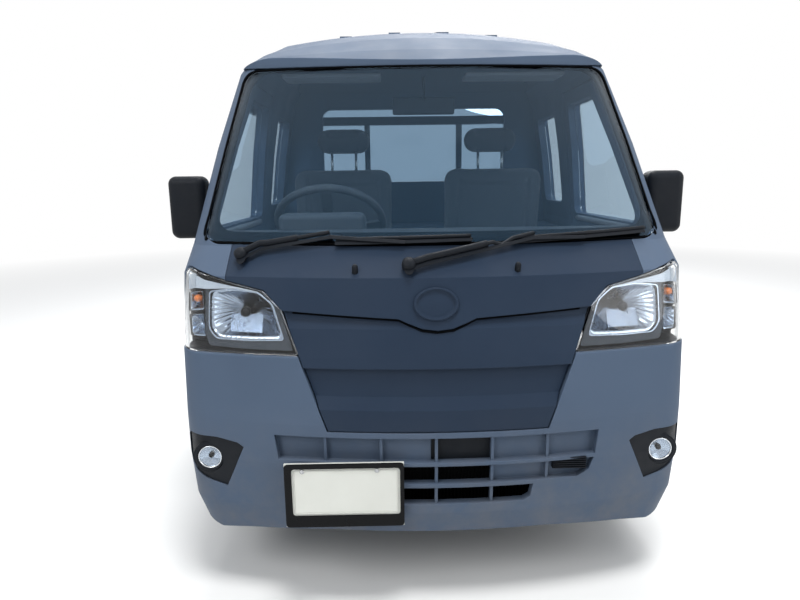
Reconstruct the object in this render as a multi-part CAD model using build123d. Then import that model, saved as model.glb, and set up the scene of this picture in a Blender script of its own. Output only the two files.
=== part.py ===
from build123d import *
import math
import os

# Kei truck: a small cab-over truck with an extended high-roof cab and a drop-side bed that opens on three sides.
# Units are millimetres. While a piece is modelled, y is the distance behind the bumper's front, x is zero on
# the centre plane and z is the height above the ground. place() moves it so that the origin lies on the ground
# under the middle of the truck, which faces -Y. The driver sits on the -X side.

# Overall sizes
LENGTH = 3395
PLATE_PROUD = 12
TAIL_Y = LENGTH - PLATE_PROUD
MID_Y = (TAIL_Y - PLATE_PROUD) / 2
HALF_WIDTH = 737.5
WHEELBASE = 1900
FRONT_AXLE_Y = 815
REAR_AXLE_Y = FRONT_AXLE_Y + WHEELBASE
HALF_TRACK = 652
SEAM = 6
TOUCH = 0.3

# Wheels
TYRE_R = 268.5
TYRE_W = 145
BEAD_R = 152
RIM_W = 110
DRUM_R = 105
DRUM_W = 48
HUB_BORE_R = 22
SPINDLE_R = 21.6
ARCH_R = 335

# Cab shell. Columns: height, half width, front at the centre, crown radius of the front, corner radius.
CAB_LEVELS = [
    (200, 700, 34, 2300, 105),
    (300, 729, 10, 2300, 105),
    (440, 737, 0, 2300, 105),
    (560, 737.5, 0, 2300, 105),
    (745, 737.5, 14, 2300, 105),
    (962, 737.5, 58, 2100, 110),
    (1036, 737, 132, 1750, 125),
    (1330, 698, 361, 2000, 130),
    (1592, 652, 577, 2400, 130),
    (1650, 618, 625, 2500, 130),
]
SIDE_WALL = 52
SKIN = 27.7
BACK_WALL = 34
CAB_BACK_Y = 1695
LOWER_BACK_Y = 1420
STEP_Z = 962
SILL_Z = 300

# Roof. Columns: y, base height, base half width, shoulder half width, shoulder height, crown height, and how far
# the flank bulges outwards.
ROOF_SECTIONS = [
    (570, 1592, 618, 505, 1598, 1604, 1),
    (640, 1597, 626, 512, 1632, 1654, 6),
    (760, 1616, 626, 514, 1674, 1716, 12),
    (1000, 1638, 618, 518, 1742, 1786, 18),
    (1450, 1650, 612, 516, 1818, 1880, 22),
    (1640, 1650, 612, 516, 1822, 1885, 22),
    (1695, 1650, 612, 496, 1800, 1860, 16),
]
ROOF_WALL = 26
ROOF_DROP = 8
ROOF_BEADS = (-292, -97, 97, 292)
BEAD_W = 46
BEAD_H = 5
BEAD_Y = (1040, 1660)

# Glass
GLASS = 6
GLASS_SET = 4
WINDSHIELD = [(-692, 1040), (692, 1040), (615, 1591.4), (-615, 1591.4)]
WINDSHIELD_CORNER = 55
REAR_WINDOW = (464, 1209, 1571)
REAR_CORNER = 45
DOOR_GLASS_SET = 18
QUARTER_GLASS_SET = 12
QUARTER_CORNER = 30
QUARTER_WINDOW = [(1290, 1110), (1600, 1110), (1585, 1500), (1272, 1500)]

# Doors, as (y, z) points from the lower front corner up, over and down to the wheel arch
DOOR_FRONT_Y = 325
DOOR_REAR_Y = 1190
DOOR_BOTTOM_Z = 440
DOOR_TOP_Z = 1560
DOOR_A_TOP_Y = 735
BELT_Z = 1045
DOOR_KINK_Z = 720
DOOR_ARCH_ANGLE = 40
DOOR_RAKE = 0.25
HINGE_Z = (560, 900)
BARREL_R = 6
BARREL_CLEAR = 3

# Front panel, headlamps and bumper, as half outlines (x, z) seen from the front
PANEL_BOTTOM = (304, 545)
LAMP_LOWER_INNER = (378, 750)
LAMP_INNER = (424, 872)
LAMP_PEAK = (476, 925)
LAMP_UPPER_OUTER = (588, 949)
LAMP_TOP_SIDE = (700, 978)
COWL_Z = WINDSHIELD[0][1] - TOUCH
BUMPER_EDGE = [(300, 236), (546, 219), (640, 206), (700, 222), (735, 300), (760, 300)]
NOSE_DEPTH_Y = 230
FIREWALL_DEPTH = 62
HOUSING_DEPTH = 110
HOUSING_WALL = 6
LENS_OUT = 2
LENS_IN = 13.7
FRONT_GAP = 3

# Centre panel. Its lower part is stepped: height and depth behind the skin, from the bottom up. Its upper part
# ends in a hood edge that dips in the middle, as half an outline (x, z).
PANEL_STEPS = [(535, 2), (607, 0), (641, 15), (718, 15), (721, 0), (750, 3), (826, 6), (850, 16), (890, 16)]
HOOD_EDGE = [(760, 882), (400, 872), (105, 854), (78, 842), (42, 828), (0, 823)]

# Lower grille of the bumper: three rows of openings as (x, z) points, ribs that cross them, and the bays that are
# closed behind
GRILLE_ROWS = [
    [(-456, 528), (-446, 456), (444, 456), (452, 528)],
    [(-96, 446), (-96, 392), (396, 392), (428, 410), (441, 446)],
    [(-96, 380), (-96, 329), (240, 329), (259, 340), (266, 380)],
]
RIB_X = (-313, -158, -6, 149, 305)
RIB_W = 8
RIB_SET = 8
CLOSED_BAYS = [(-460, -20, 450, 530), (149, 460, 450, 530), (149, 460, 386, 450)]
CLOSED_T = 5

# Fog lamps, as (x, z) on the +X side
FOG_OUTLINE = [
    (548, 484), (566, 496), (628, 507), (714, 507), (726, 496), (727, 416), (703, 386), (655, 366), (607, 355),
]
FOG_DEPTH = 46
FOG_SET = 4
FOG_CENTRE = (656, 439)
FOG_R = 42
FOG_RING = 6
FOG_FRONT_Y = 100
FOG_LENS_Y = (103, 107)
FOG_BOWL_Y = 120
FOG_BACK_Y = 165

# Wipers, as (x, z) points: pivot, kink, end of the arm and the two ends of the blade
WIPER_OUT = 24
WIPER_W = 9
WIPER_ARM_T = 7
WIPERS = [
    ((-545, 1008), (-492, 1033), (-292, 1066), (-274, 1049), (98, 1056)),
    ((-75, 986), (-25, 1000), (276, 1057), (221, 1047), (627, 1063)),
]

# Bed
BED_Z = 660
BED_FRONT_Y = 1428
BED_SILL = 4
GUARD_Y = (CAB_BACK_Y + 20, CAB_BACK_Y + 60)
BEARERS = 6
BEARER_W = 50
GATE_OUTER_X = 731
GATE_T = 30
GATE_BOTTOM_Z = 632
GATE_TOP_Z = 945
GATE_FRONT_Y = 1442
BARREL_SPOTS = (0.08, 0.36, 0.64, 0.92)
TAILGATE_Y = TAIL_Y - BARREL_R
SIDE_GATE_LENGTH = TAILGATE_Y - GATE_T - SEAM - GATE_FRONT_Y

# Frame
RAIL_X = 360
RAIL_W = 60
RAIL_LOW_Z = (330, 412)
RAIL_HIGH_Z = (440, 560)
FRAME_START_Y = 95
FRAME_END_Y = TAIL_Y - 43
SPARE_Y = TAIL_Y - 358
SPARE_Z = 440
CROSS_W = 40
TOW_EYE_R = 13
TOW_EYE_Z = 405
CARRIER_T = 14

# Cab floor and dashboard
FLOOR_TOP_Z = 440
FLOOR_T = 20
DECK_Z = 700
RISER_Y = 460
DASH_PROFILE = [(60, 800), (330, 760), (430, 800), (470, 960), (440, 1050), (340, 1072), (200, 1046), (60, 1020)]
DASH_END_X = 650

# Seats. Outlines are (y, z) points.
SEAT_X = 330
SEAT_W = 480
CUSHION_Y = (640, 1120)
CUSHION_H = 120
CUSHION_ROUND = 28
BACK_OUTLINE = [(1125, DECK_Z + 60), (1215, DECK_Z + 60), (1300, 1290), (1225, 1310)]
BACK_ROUND = 24
HEADREST_OUTLINE = [(1228, 1330), (1300, 1322), (1312, 1450), (1250, 1455)]
HEADREST_W = 260
HEADREST_ROUND = 20
POST_X = (48, 60)
POST_Y = (1255, 1267)
POST_Z = (1270, 1350)
STAND_W = 400
STAND_Y = (1160, 1200)
STAND_H = 90

# Steering wheel and column. The column's length and the hub are measured down from the wheel's centre.
STEER_X = -330
STEER_CENTRE_Y = 575
STEER_CENTRE_Z = 1075
STEER_TILT = 42
STEER_R = 180
STEER_TUBE_R = 13
HUB_R = 46
HUB_DOWN = 50
HUB_LENGTH = 42
SPOKE_DOWN = 16
SPOKE_W = 34
SPOKE_T = 9
COLUMN_R = 28
COLUMN_LENGTH = 430

# Front wheel's steering axis as (x, z) points, its strut, and the lower arm's end under it
KING_LOW = (570, 190)
KING_TOP = (530, 690)
STRUT_R = 22
STRUT_TOP_Z = 520
STUD_R = 11
BOSS_R = 13
BOSS_LENGTH = 29
SHIELD_R = 80
SHIELD_T = 6
SPINDLE_LENGTH = 80
CAP_R = 52
CAP_T = 10

# Leaf springs: the leaves' steps give a share of the way from the axle to the eye and how many leaves reach it
LEAF_X = (420, 470)
LEAF_EYE_Y = 480
LEAF_SAG = 70
LEAF_TOP_Z = 420
LEAF_T = 9
LEAF_STEPS = [(1.0, 1), (0.75, 1), (0.75, 2), (0.5, 2), (0.5, 3), (0.25, 3), (0, 3)]

# Rear axle, engine, tank and exhaust
AXLE_R = 40
CASE_R = 92
CASE_HALF_W = 80
SHAFT_R = 30
SHAFT_FRONT_Z = 372
ENGINE_HALF_W = 200
ENGINE_Y = (640, 1090)
ENGINE_Z = (290, 640)
GEARBOX_HALF_W = 110
GEARBOX_END_Y = 1500
GEARBOX_Z = (300, 470)
TANK_OUTER_X = 640
TANK_Y = (1520, 1980)
TANK_Z = (300, 500)
MUFFLER = (-520, 1800, 390)
MUFFLER_R = 80
MUFFLER_LENGTH = 460
TAIL_PIPE = [(-520, 2020, 390), (-500, 2120, 400)]
TAIL_PIPE_R = 20

# Guard frame, tail lamps, mudflaps, plate and mirrors
GUARD_POST_X = 655
GUARD_POST_W = 40
GUARD_HALF_W = 675
GUARD_TOP_Z = (1500, 1540)
GUARD_LOW_Z = (985, 1020)
GUARD_BAR_X = 240
GUARD_BAR_W = 28
TAIL_LAMP_X = (470, 690)
TAIL_LAMP_DROP = (120, 46)
FLAP_X = (585, 715)
FLAP_BEHIND = 330
FLAP_T = 8
FLAP_BOTTOM_Z = 200
PLATE_X = (-423, -96)
PLATE_Z = (280, 467)
PLATE_T = 7
PLATE_STUD_X = (-360, -160)
PLATE_STUD_Z = (320, 428)
MIRROR_HEAD = [(730, 850), (470, 560), (1037, 1240)]
MIRROR_ARM = [(690, 760), (480, 510), (1046, 1075)]
MIRROR_ROUND = 26

# Planes past the truck that cuts start from or end at, and how deep the cuts from the front go
AHEAD_Y = -50
PAST_X = 800
PAST_Y = CAB_BACK_Y + 60
GLASS_DEPTH_Y = 760


def place(shape):
    """Moves a finished piece to the truck's own origin."""
    return Pos(0, -MID_Y, 0) * shape


def mirrored(shape):
    """The same piece on the other side of the centre plane."""
    return mirror(shape, about=Plane.YZ)


def on_side(shape, side):
    """A shape made for the +X side, or its mirror image."""
    return shape if side > 0 else mirrored(shape)


def block(x0, x1, y0, y1, z0, z1):
    """A box between two corners."""
    centre = Pos((x0 + x1) / 2, (y0 + y1) / 2, (z0 + z1) / 2)
    return centre * Box(abs(x1 - x0), abs(y1 - y0), abs(z1 - z0))


def side_prism(points, x0, x1, corner=0):
    """A (y, z) outline extruded along x."""
    face = make_face(Polyline(*points, close=True))
    if corner:
        face = fillet(face.vertices(), corner)
    return Pos(x0, 0, 0) * extrude(Plane.YZ * face, x1 - x0)


def front_prism(points, y0, y1, corner=0):
    """An (x, z) outline extruded along y."""
    face = make_face(Polyline(*points, close=True))
    if corner:
        face = fillet(face.vertices(), corner)
    return Pos(0, y1, 0) * extrude(Plane.XZ * face, y1 - y0)


def rod(start, end, radius):
    """A round bar between two points."""
    axis = Vector(*end) - Vector(*start)
    plane = Plane(origin=Vector(*start), z_dir=axis)
    return extrude(plane * Circle(radius), axis.length)


def beam(start, end, width, height):
    """A rectangular bar between two points, its width across the truck where it can be."""
    axis = Vector(*end) - Vector(*start)
    across = Vector(1, 0, 0) if abs(axis.X) < 0.9 * axis.length else Vector(0, 1, 0)
    plane = Plane(origin=Vector(*start), x_dir=across - axis * (across.dot(axis) / axis.length ** 2), z_dir=axis)
    return extrude(plane * Rectangle(width, height), axis.length)


def level_at(z):
    """The cab's outline values at any height."""
    for low, high in zip(CAB_LEVELS, CAB_LEVELS[1:]):
        if low[0] <= z <= high[0]:
            share = (z - low[0]) / (high[0] - low[0])
            return [a + (b - a) * share for a, b in zip(low, high)]
    raise ValueError(f"the cab has no outline at height {z}")


def plan_section(level, inset, back_y):
    """The cab's outline at one height: a crowned front, two tangent corner arcs and straight sides."""
    z, half_width, front, crown, corner = level
    w, f, big, small = half_width - inset, front + inset, crown - inset, max(corner - inset, 20)
    cx = w - small
    cy = f + big - math.sqrt((big - small) ** 2 - cx ** 2)
    reach = big / (big - small)
    touch = (cx * reach, f + big + (cy - f - big) * reach)
    turn = math.atan2(cy - touch[1], touch[0] - cx) / 2
    mid = (cx + small * math.cos(turn), cy - small * math.sin(turn))
    edges = [
        Line((w, back_y), (w, cy)),
        ThreePointArc((w, cy), mid, touch),
        ThreePointArc(touch, (0, f), (-touch[0], touch[1])),
        ThreePointArc((-touch[0], touch[1]), (-mid[0], mid[1]), (-w, cy)),
        Line((-w, cy), (-w, back_y)),
        Line((-w, back_y), (w, back_y)),
    ]
    return Pos(0, 0, z) * make_face(Wire(edges))


def envelope(inset, back_y=CAB_BACK_Y):
    """A closed body through the cab's outlines, drawn in by inset."""
    return loft([plan_section(level, inset, back_y) for level in CAB_LEVELS], ruled=True)


def band(outer_inset, inner_inset):
    """The cab's wall between two depths, open at the back, the top and the bottom."""
    return envelope(outer_inset) - envelope(inner_inset, CAB_BACK_Y + 50)


def arch(radius, x0, x1, y=FRONT_AXLE_Y):
    """A wheel arch as a round bar along x."""
    return Pos((x0 + x1) / 2, y, TYRE_R) * Rot(0, 90, 0) * Cylinder(radius, abs(x1 - x0))


def door_outline(grow, rake):
    """The door's edge seen from the side, grown by the seam, with its rear edge drawn forward by rake."""
    low = math.radians(DOOR_ARCH_ANGLE)
    end = (FRONT_AXLE_Y + ARCH_R * math.cos(low), TYRE_R + ARCH_R * math.sin(low))
    return [
        (DOOR_FRONT_Y - grow, DOOR_BOTTOM_Z - grow),
        (DOOR_FRONT_Y - grow, BELT_Z),
        (DOOR_A_TOP_Y - grow, DOOR_TOP_Z + grow),
        (DOOR_REAR_Y - 50 + grow - rake, DOOR_TOP_Z + grow),
        (DOOR_REAR_Y + grow - rake, BELT_Z),
        (DOOR_REAR_Y + grow - rake, DOOR_KINK_Z - grow / 2),
        (end[0] + grow - rake, end[1] - grow),
        (FRONT_AXLE_Y, TYRE_R),
        (FRONT_AXLE_Y - ARCH_R, DOOR_BOTTOM_Z - grow),
    ]


def door_prism(grow):
    """The door's outline through the wall, its rear edge raked so that the door swings out of it."""
    depth = 200
    outer_x = HALF_WIDTH + 40
    outer = Plane.YZ * make_face(Polyline(*door_outline(grow, 0), close=True))
    inner = Plane.YZ * make_face(Polyline(*door_outline(grow, depth * DOOR_RAKE), close=True))
    return loft([Pos(outer_x, 0, 0) * outer, Pos(outer_x - depth, 0, 0) * inner], ruled=True)


def door_window(grow):
    """The door's window seen from the side."""
    sill = BELT_Z + 25
    points = [
        (DOOR_FRONT_Y + 95, sill),
        (DOOR_A_TOP_Y + 30, DOOR_TOP_Z - 48),
        (DOOR_REAR_Y - 135, DOOR_TOP_Z - 48),
        (DOOR_REAR_Y - 75, sill),
    ]
    return offset_prism(points, grow, HALF_WIDTH - 200, HALF_WIDTH + 40, 28)


def offset_prism(points, grow, x0, x1, corner):
    """A (y, z) outline with rounded corners, grown by a margin and extruded along x."""
    face = fillet(make_face(Polyline(*points, close=True)).vertices(), corner)
    if grow:
        face = offset(face, grow)
    return Pos(x0, 0, 0) * extrude(Plane.YZ * face, x1 - x0)


def hinge_barrels(own, x, y):
    """The barrels of the door hinges: the outer two on the pillar, the middle one on the door."""
    spans = [(-10, 10)] if own == "door" else [(-30, -10 - TOUCH), (10 + TOUCH, 30)]
    return [(x, y, z + low, z + high) for z in HINGE_Z for low, high in spans]


def barrel(spot, radius):
    x, y, z0, z1 = spot
    return Pos(x, y, (z0 + z1) / 2) * Cylinder(radius, z1 - z0)


def door_hinge_spots(own):
    return hinge_barrels(own, HALF_WIDTH, DOOR_FRONT_Y - SEAM / 2)


def lamp_outline(gap):
    """The headlamp seen from the front, as (x, z) points on the +X side."""
    return [
        (LAMP_LOWER_INNER[0] + gap, LAMP_LOWER_INNER[1] + gap),
        (LAMP_INNER[0] + gap, LAMP_INNER[1]),
        (LAMP_PEAK[0] + gap, LAMP_PEAK[1] - gap),
        (LAMP_UPPER_OUTER[0], LAMP_UPPER_OUTER[1] - gap),
        (LAMP_TOP_SIDE[0], LAMP_TOP_SIDE[1] - gap),
        (HALF_WIDTH + 40, LAMP_TOP_SIDE[1] - gap),
        (HALF_WIDTH + 40, LAMP_LOWER_INNER[1] + gap),
    ]


def whole(half):
    """A half outline and its mirror image, as one closed outline."""
    return half + [(-x, z) for x, z in reversed(half) if x]


def panel_outline(gap):
    """The centre panel seen from the front, from its bottom edge up to the cowl."""
    half = [
        (PANEL_BOTTOM[0] - gap, PANEL_BOTTOM[1] + gap),
        (LAMP_LOWER_INNER[0] - gap, LAMP_LOWER_INNER[1]),
        (LAMP_INNER[0] - gap, LAMP_INNER[1]),
        (LAMP_PEAK[0] - gap, LAMP_PEAK[1] + gap),
        (LAMP_UPPER_OUTER[0] - gap, LAMP_UPPER_OUTER[1] + gap),
        (LAMP_UPPER_OUTER[0] - gap, COWL_Z),
    ]
    return whole(half)


def make_cab_side():
    wall = band(0, SIDE_WALL) & block(0, PAST_X, 0, CAB_BACK_Y + 1, SILL_Z, CAB_LEVELS[-1][0] + 50)
    opening = make_face(Polyline(*WINDSHIELD, close=True))
    opening = offset(fillet(opening.vertices(), WINDSHIELD_CORNER), TOUCH)
    side = wall - Pos(0, GLASS_DEPTH_Y, 0) * extrude(Plane.XZ * opening, GLASS_DEPTH_Y - AHEAD_Y)
    over_glass = WINDSHIELD[2][1] - WINDSHIELD_CORNER
    corner_x = WINDSHIELD[2][0] - 0.6 * WINDSHIELD_CORNER
    side -= block(-10, corner_x, AHEAD_Y, GLASS_DEPTH_Y, over_glass, CAB_LEVELS[-1][0] + 50)
    side -= block(-10, LAMP_UPPER_OUTER[0], AHEAD_Y, 500, 200, COWL_Z)
    side -= front_prism(lamp_outline(-FRONT_GAP), AHEAD_Y, NOSE_DEPTH_Y + TOUCH)
    side -= block(0, PAST_X, AHEAD_Y, NOSE_DEPTH_Y + TOUCH, 200, LAMP_LOWER_INNER[1] + 1)
    side -= block(0, 560, AHEAD_Y, PAST_Y, 200, 1700)
    side -= block(0, PAST_X, LOWER_BACK_Y, PAST_Y, 200, STEP_Z)
    side -= arch(ARCH_R, 500, PAST_X)
    side -= door_prism(SEAM)
    side -= side_prism(QUARTER_WINDOW, 500, PAST_X, QUARTER_CORNER)
    over = [(row[0], row[1] - TOUCH) for row in ROOF_SECTIONS]
    above = [(500, over[0][1])] + over[1:] + [(PAST_Y, over[-1][1]), (PAST_Y, 1800), (500, 1800)]
    side -= side_prism(above, 0, PAST_X)
    for spot in door_hinge_spots("door"):
        side -= barrel((spot[0], spot[1], spot[2] - TOUCH, spot[3] + TOUCH), BARREL_R + BARREL_CLEAR)
    for spot in door_hinge_spots("pillar"):
        side += barrel(spot, BARREL_R)
    return side


def make_door(side):
    """The door on one side, +1 for the left."""
    door = band(0, SIDE_WALL) & on_side(door_prism(0), side)
    door -= on_side(arch(ARCH_R, 500, PAST_X), side)
    door -= on_side(door_window(0), side)
    for spot in door_hinge_spots("pillar"):
        notch = (spot[0], spot[1], spot[2] - TOUCH, spot[3] + TOUCH)
        door -= on_side(barrel(notch, BARREL_R + BARREL_CLEAR), side)
    for spot in door_hinge_spots("door"):
        door += on_side(barrel(spot, BARREL_R), side)
    return door


def make_door_glass():
    return band(DOOR_GLASS_SET, DOOR_GLASS_SET + GLASS) & door_window(-TOUCH)


def roof_at(y):
    """The roof's columns at one place along the truck."""
    for near, far in zip(ROOF_SECTIONS, ROOF_SECTIONS[1:]):
        if near[0] <= y <= far[0]:
            share = (y - near[0]) / (far[0] - near[0])
            return [a + (b - a) * share for a, b in zip(near, far)]
    return list(ROOF_SECTIONS[-1])


def roof_section(y, inset):
    """The roof across the truck: bulging flanks and an arched crown above a flat base."""
    _, base, base_w, shoulder_w, shoulder, crown, bulge = roof_at(y)
    low = Vector(base_w - inset, base - (ROOF_DROP if inset else 0))
    high = Vector(shoulder_w - inset, shoulder - inset)
    chord = (high - low).normalized()
    flank = (low + high) / 2 + Vector(chord.Y, -chord.X) * bulge
    edges = [
        Line((-low.X, low.Y), (low.X, low.Y)),
        ThreePointArc((low.X, low.Y), (flank.X, flank.Y), (high.X, high.Y)),
        ThreePointArc((high.X, high.Y), (0, crown - inset), (-high.X, high.Y)),
        ThreePointArc((-high.X, high.Y), (-flank.X, flank.Y), (-low.X, low.Y)),
    ]
    return Pos(0, y, 0) * Rot(90, 0, 0) * make_face(Wire(edges))


def roof_height(x, y):
    """The height of the roof's crown arc at one point."""
    _, _, _, shoulder_w, shoulder, crown, _ = roof_at(y)
    rise = crown - shoulder
    radius = (shoulder_w ** 2 + rise ** 2) / (2 * rise)
    return crown - radius + math.sqrt(radius ** 2 - x ** 2)


def make_roof():
    outer = loft([roof_section(row[0], 0) for row in ROOF_SECTIONS], ruled=True)
    inner_stations = [680, 760, 1000, 1450, 1640, CAB_BACK_Y - ROOF_WALL]
    inner = loft([roof_section(y, ROOF_WALL) for y in inner_stations], ruled=True)
    brow = (0, 655, 579, 2400, 130)
    plan = extrude(plan_section(brow, 0, CAB_BACK_Y), 2000)
    roof = (outer - inner) & plan
    stations = [BEAD_Y[0], 1450, BEAD_Y[1]]
    for x in ROOF_BEADS:
        faces = []
        for y in stations:
            strip = Pos(x, roof_height(x, y)) * Rectangle(BEAD_W, 2 * BEAD_H)
            faces.append(Pos(0, y, 0) * Rot(90, 0, 0) * strip)
        roof += loft(faces, ruled=True)
    return roof


def make_cab_back():
    body = envelope(SIDE_WALL + TOUCH)
    top = ROOF_SECTIONS[-1][1] - TOUCH
    lower_z = 640
    profile = [
        (LOWER_BACK_Y - BACK_WALL, lower_z),
        (LOWER_BACK_Y, lower_z),
        (LOWER_BACK_Y, STEP_Z),
        (CAB_BACK_Y, STEP_Z),
        (CAB_BACK_Y, top),
        (CAB_BACK_Y - BACK_WALL, top),
        (CAB_BACK_Y - BACK_WALL, STEP_Z + BACK_WALL),
        (LOWER_BACK_Y - BACK_WALL, STEP_Z + BACK_WALL),
    ]
    back = body & side_prism(profile, -PAST_X, PAST_X)
    half, low, high = REAR_WINDOW
    opening = [(-half, low), (half, low), (half, high), (-half, high)]
    return back - front_prism(opening, CAB_BACK_Y - 100, CAB_BACK_Y + 20, REAR_CORNER)


def make_cab_windows():
    half, low, high = REAR_WINDOW
    half, low, high = half - TOUCH, low + TOUCH, high - TOUCH
    pane = [(-half, low), (half, low), (half, high), (-half, high)]
    middle = CAB_BACK_Y - BACK_WALL / 2
    rear = front_prism(pane, middle - GLASS / 2, middle + GLASS / 2, REAR_CORNER - TOUCH)
    outline = make_face(Polyline(*QUARTER_WINDOW, close=True))
    outline = offset(fillet(outline.vertices(), QUARTER_CORNER), -TOUCH)
    through = Pos(500, 0, 0) * extrude(Plane.YZ * outline, PAST_X - 500)
    quarter = band(QUARTER_GLASS_SET, QUARTER_GLASS_SET + GLASS) & through
    return [rear, quarter, mirrored(quarter)]


def make_windshield():
    opening = front_prism(WINDSHIELD, AHEAD_Y, GLASS_DEPTH_Y, WINDSHIELD_CORNER)
    return band(GLASS_SET, GLASS_SET + GLASS) & opening


def make_firewall():
    wall = band(SKIN + TOUCH, FIREWALL_DEPTH - TOUCH)
    half = LAMP_LOWER_INNER[0] - FRONT_GAP
    return wall & block(-half, half, 0, 400, 430, COWL_Z - 4)


def make_front_panel():
    """The centre panel: a smooth upper part with a hood edge over a stepped lower part."""
    above = HOOD_EDGE + [(-x, z) for x, z in reversed(HOOD_EDGE[:-1])]
    above += [(-HOOD_EDGE[0][0], COWL_Z + 50), (HOOD_EDGE[0][0], COWL_Z + 50)]
    upper = band(0, SKIN) & front_prism(above, AHEAD_Y, 500)
    steps = loft([plan_section(level_at(z), inset, CAB_BACK_Y) for z, inset in PANEL_STEPS], ruled=True)
    lower = steps - envelope(SKIN, CAB_BACK_Y + 50)
    return (upper + lower) & front_prism(panel_outline(FRONT_GAP / 2), AHEAD_Y, 500)


def make_front_bumper():
    half = BUMPER_EDGE + [(BUMPER_EDGE[-1][0], LAMP_LOWER_INNER[1])]
    zone = front_prism(whole(half), -40, NOSE_DEPTH_Y)
    bumper = (band(0, SKIN) & zone) - front_prism(panel_outline(-FRONT_GAP / 2), AHEAD_Y, 500)
    rows = None
    for outline in GRILLE_ROWS:
        row = front_prism(outline, AHEAD_Y, 200)
        rows = row if rows is None else rows + row
    bumper -= rows
    bars = None
    for x in RIB_X:
        rib = band(RIB_SET, SKIN) & block(x - RIB_W / 2, x + RIB_W / 2, AHEAD_Y, 200, 320, 530)
        bars = rib if bars is None else bars + rib
    for x0, x1, z0, z1 in CLOSED_BAYS:
        bars += band(SKIN - CLOSED_T, SKIN) & block(x0, x1, AHEAD_Y, 200, z0, z1)
    bumper += bars & rows
    for side in (-1, 1):
        bumper -= on_side(front_prism(FOG_OUTLINE, AHEAD_Y, FOG_BACK_Y), side)
    return bumper


def strip(points, width, outer_inset, inner_inset):
    """A bar that follows the cab's face along (x, z) points, between two depths."""
    bar = None
    for (xa, za), (xb, zb) in zip(points, points[1:]):
        length = math.hypot(xb - xa, zb - za)
        dx, dz = (xb - xa) / length * width / 2, (zb - za) / length * width / 2
        outline = [(xa - dx - dz, za - dz + dx), (xb + dx - dz, zb + dz + dx)]
        outline += [(xb + dx + dz, zb + dz - dx), (xa - dx + dz, za - dz - dx)]
        piece = front_prism(outline, AHEAD_Y, GLASS_DEPTH_Y)
        bar = piece if bar is None else bar + piece
    return band(outer_inset, inner_inset) & bar


def make_wipers():
    """Two wipers: pivot, arm and blade each, lying on the glass and the cowl."""
    pieces = []
    for pivot, kink, end, blade_from, blade_to in WIPERS:
        middle = ((blade_from[0] + blade_to[0]) / 2, (blade_from[1] + blade_to[1]) / 2)
        post = band(-WIPER_OUT, -TOUCH) & Pos(pivot[0], 200, pivot[1]) * Rot(90, 0, 0) * Cylinder(13, 400)
        arm = strip([pivot, kink, end, middle], WIPER_W, -WIPER_OUT, -WIPER_OUT + WIPER_ARM_T)
        blade = strip([blade_from, blade_to], WIPER_W, -WIPER_OUT + WIPER_ARM_T - 1, GLASS_SET - 1)
        pieces.append(post + arm + blade)
    return pieces


def fog_turned(radius, y0, y1):
    """A round bar on the fog lamp's axis."""
    return Pos(FOG_CENTRE[0], (y0 + y1) / 2, FOG_CENTRE[1]) * Rot(90, 0, 0) * Cylinder(radius, y1 - y0)


def make_lamp_housings():
    """A tray behind each headlamp lens, and a bezel with a bowl for each fog lamp."""
    front = LENS_IN + TOUCH
    housing = band(front, HOUSING_DEPTH) & front_prism(lamp_outline(TOUCH), AHEAD_Y, NOSE_DEPTH_Y)
    hollow = front_prism(lamp_outline(HOUSING_WALL), AHEAD_Y, NOSE_DEPTH_Y - HOUSING_WALL)
    housing -= band(front - 1, HOUSING_DEPTH - HOUSING_WALL) & hollow
    outline = offset(make_face(Polyline(*FOG_OUTLINE, close=True)), -TOUCH)
    bezel = band(FOG_SET, FOG_DEPTH) & Pos(0, FOG_BACK_Y - TOUCH, 0) * extrude(Plane.XZ * outline, FOG_BACK_Y)
    bezel += fog_turned(FOG_R + FOG_RING, FOG_FRONT_Y, FOG_BOWL_Y)
    bezel -= fog_turned(FOG_R, FOG_FRONT_Y - 100, FOG_BOWL_Y)
    return [housing, mirrored(housing), bezel, mirrored(bezel)]


def make_lamp_lenses():
    lens = band(LENS_OUT, LENS_IN) & front_prism(lamp_outline(FRONT_GAP), AHEAD_Y, NOSE_DEPTH_Y - FRONT_GAP)
    fog = fog_turned(FOG_R - TOUCH, *FOG_LENS_Y)
    return [lens, mirrored(lens), fog, mirrored(fog)]


def make_cab_floor():
    profile = [
        (0, FLOOR_TOP_Z - FLOOR_T),
        (RISER_Y + FLOOR_T, FLOOR_TOP_Z - FLOOR_T),
        (RISER_Y + FLOOR_T, DECK_Z - FLOOR_T),
        (LOWER_BACK_Y - BACK_WALL - TOUCH, DECK_Z - FLOOR_T),
        (LOWER_BACK_Y - BACK_WALL - TOUCH, DECK_Z),
        (RISER_Y, DECK_Z),
        (RISER_Y, FLOOR_TOP_Z),
        (0, FLOOR_TOP_Z),
    ]
    floor = envelope(SIDE_WALL + TOUCH) & side_prism(profile, -PAST_X, PAST_X)
    toe = block(-400, 400, 0, FIREWALL_DEPTH + 40, FLOOR_TOP_Z - FLOOR_T - 1, FLOOR_TOP_Z + 1)
    floor -= toe & envelope(SKIN)
    for side in (-1, 1):
        edge = HALF_WIDTH - SIDE_WALL - SEAM - 1
        floor -= block(side * edge, side * PAST_X, DOOR_FRONT_Y - 10, DOOR_REAR_Y + 12, 400, DECK_Z + 1)
    return floor


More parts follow.
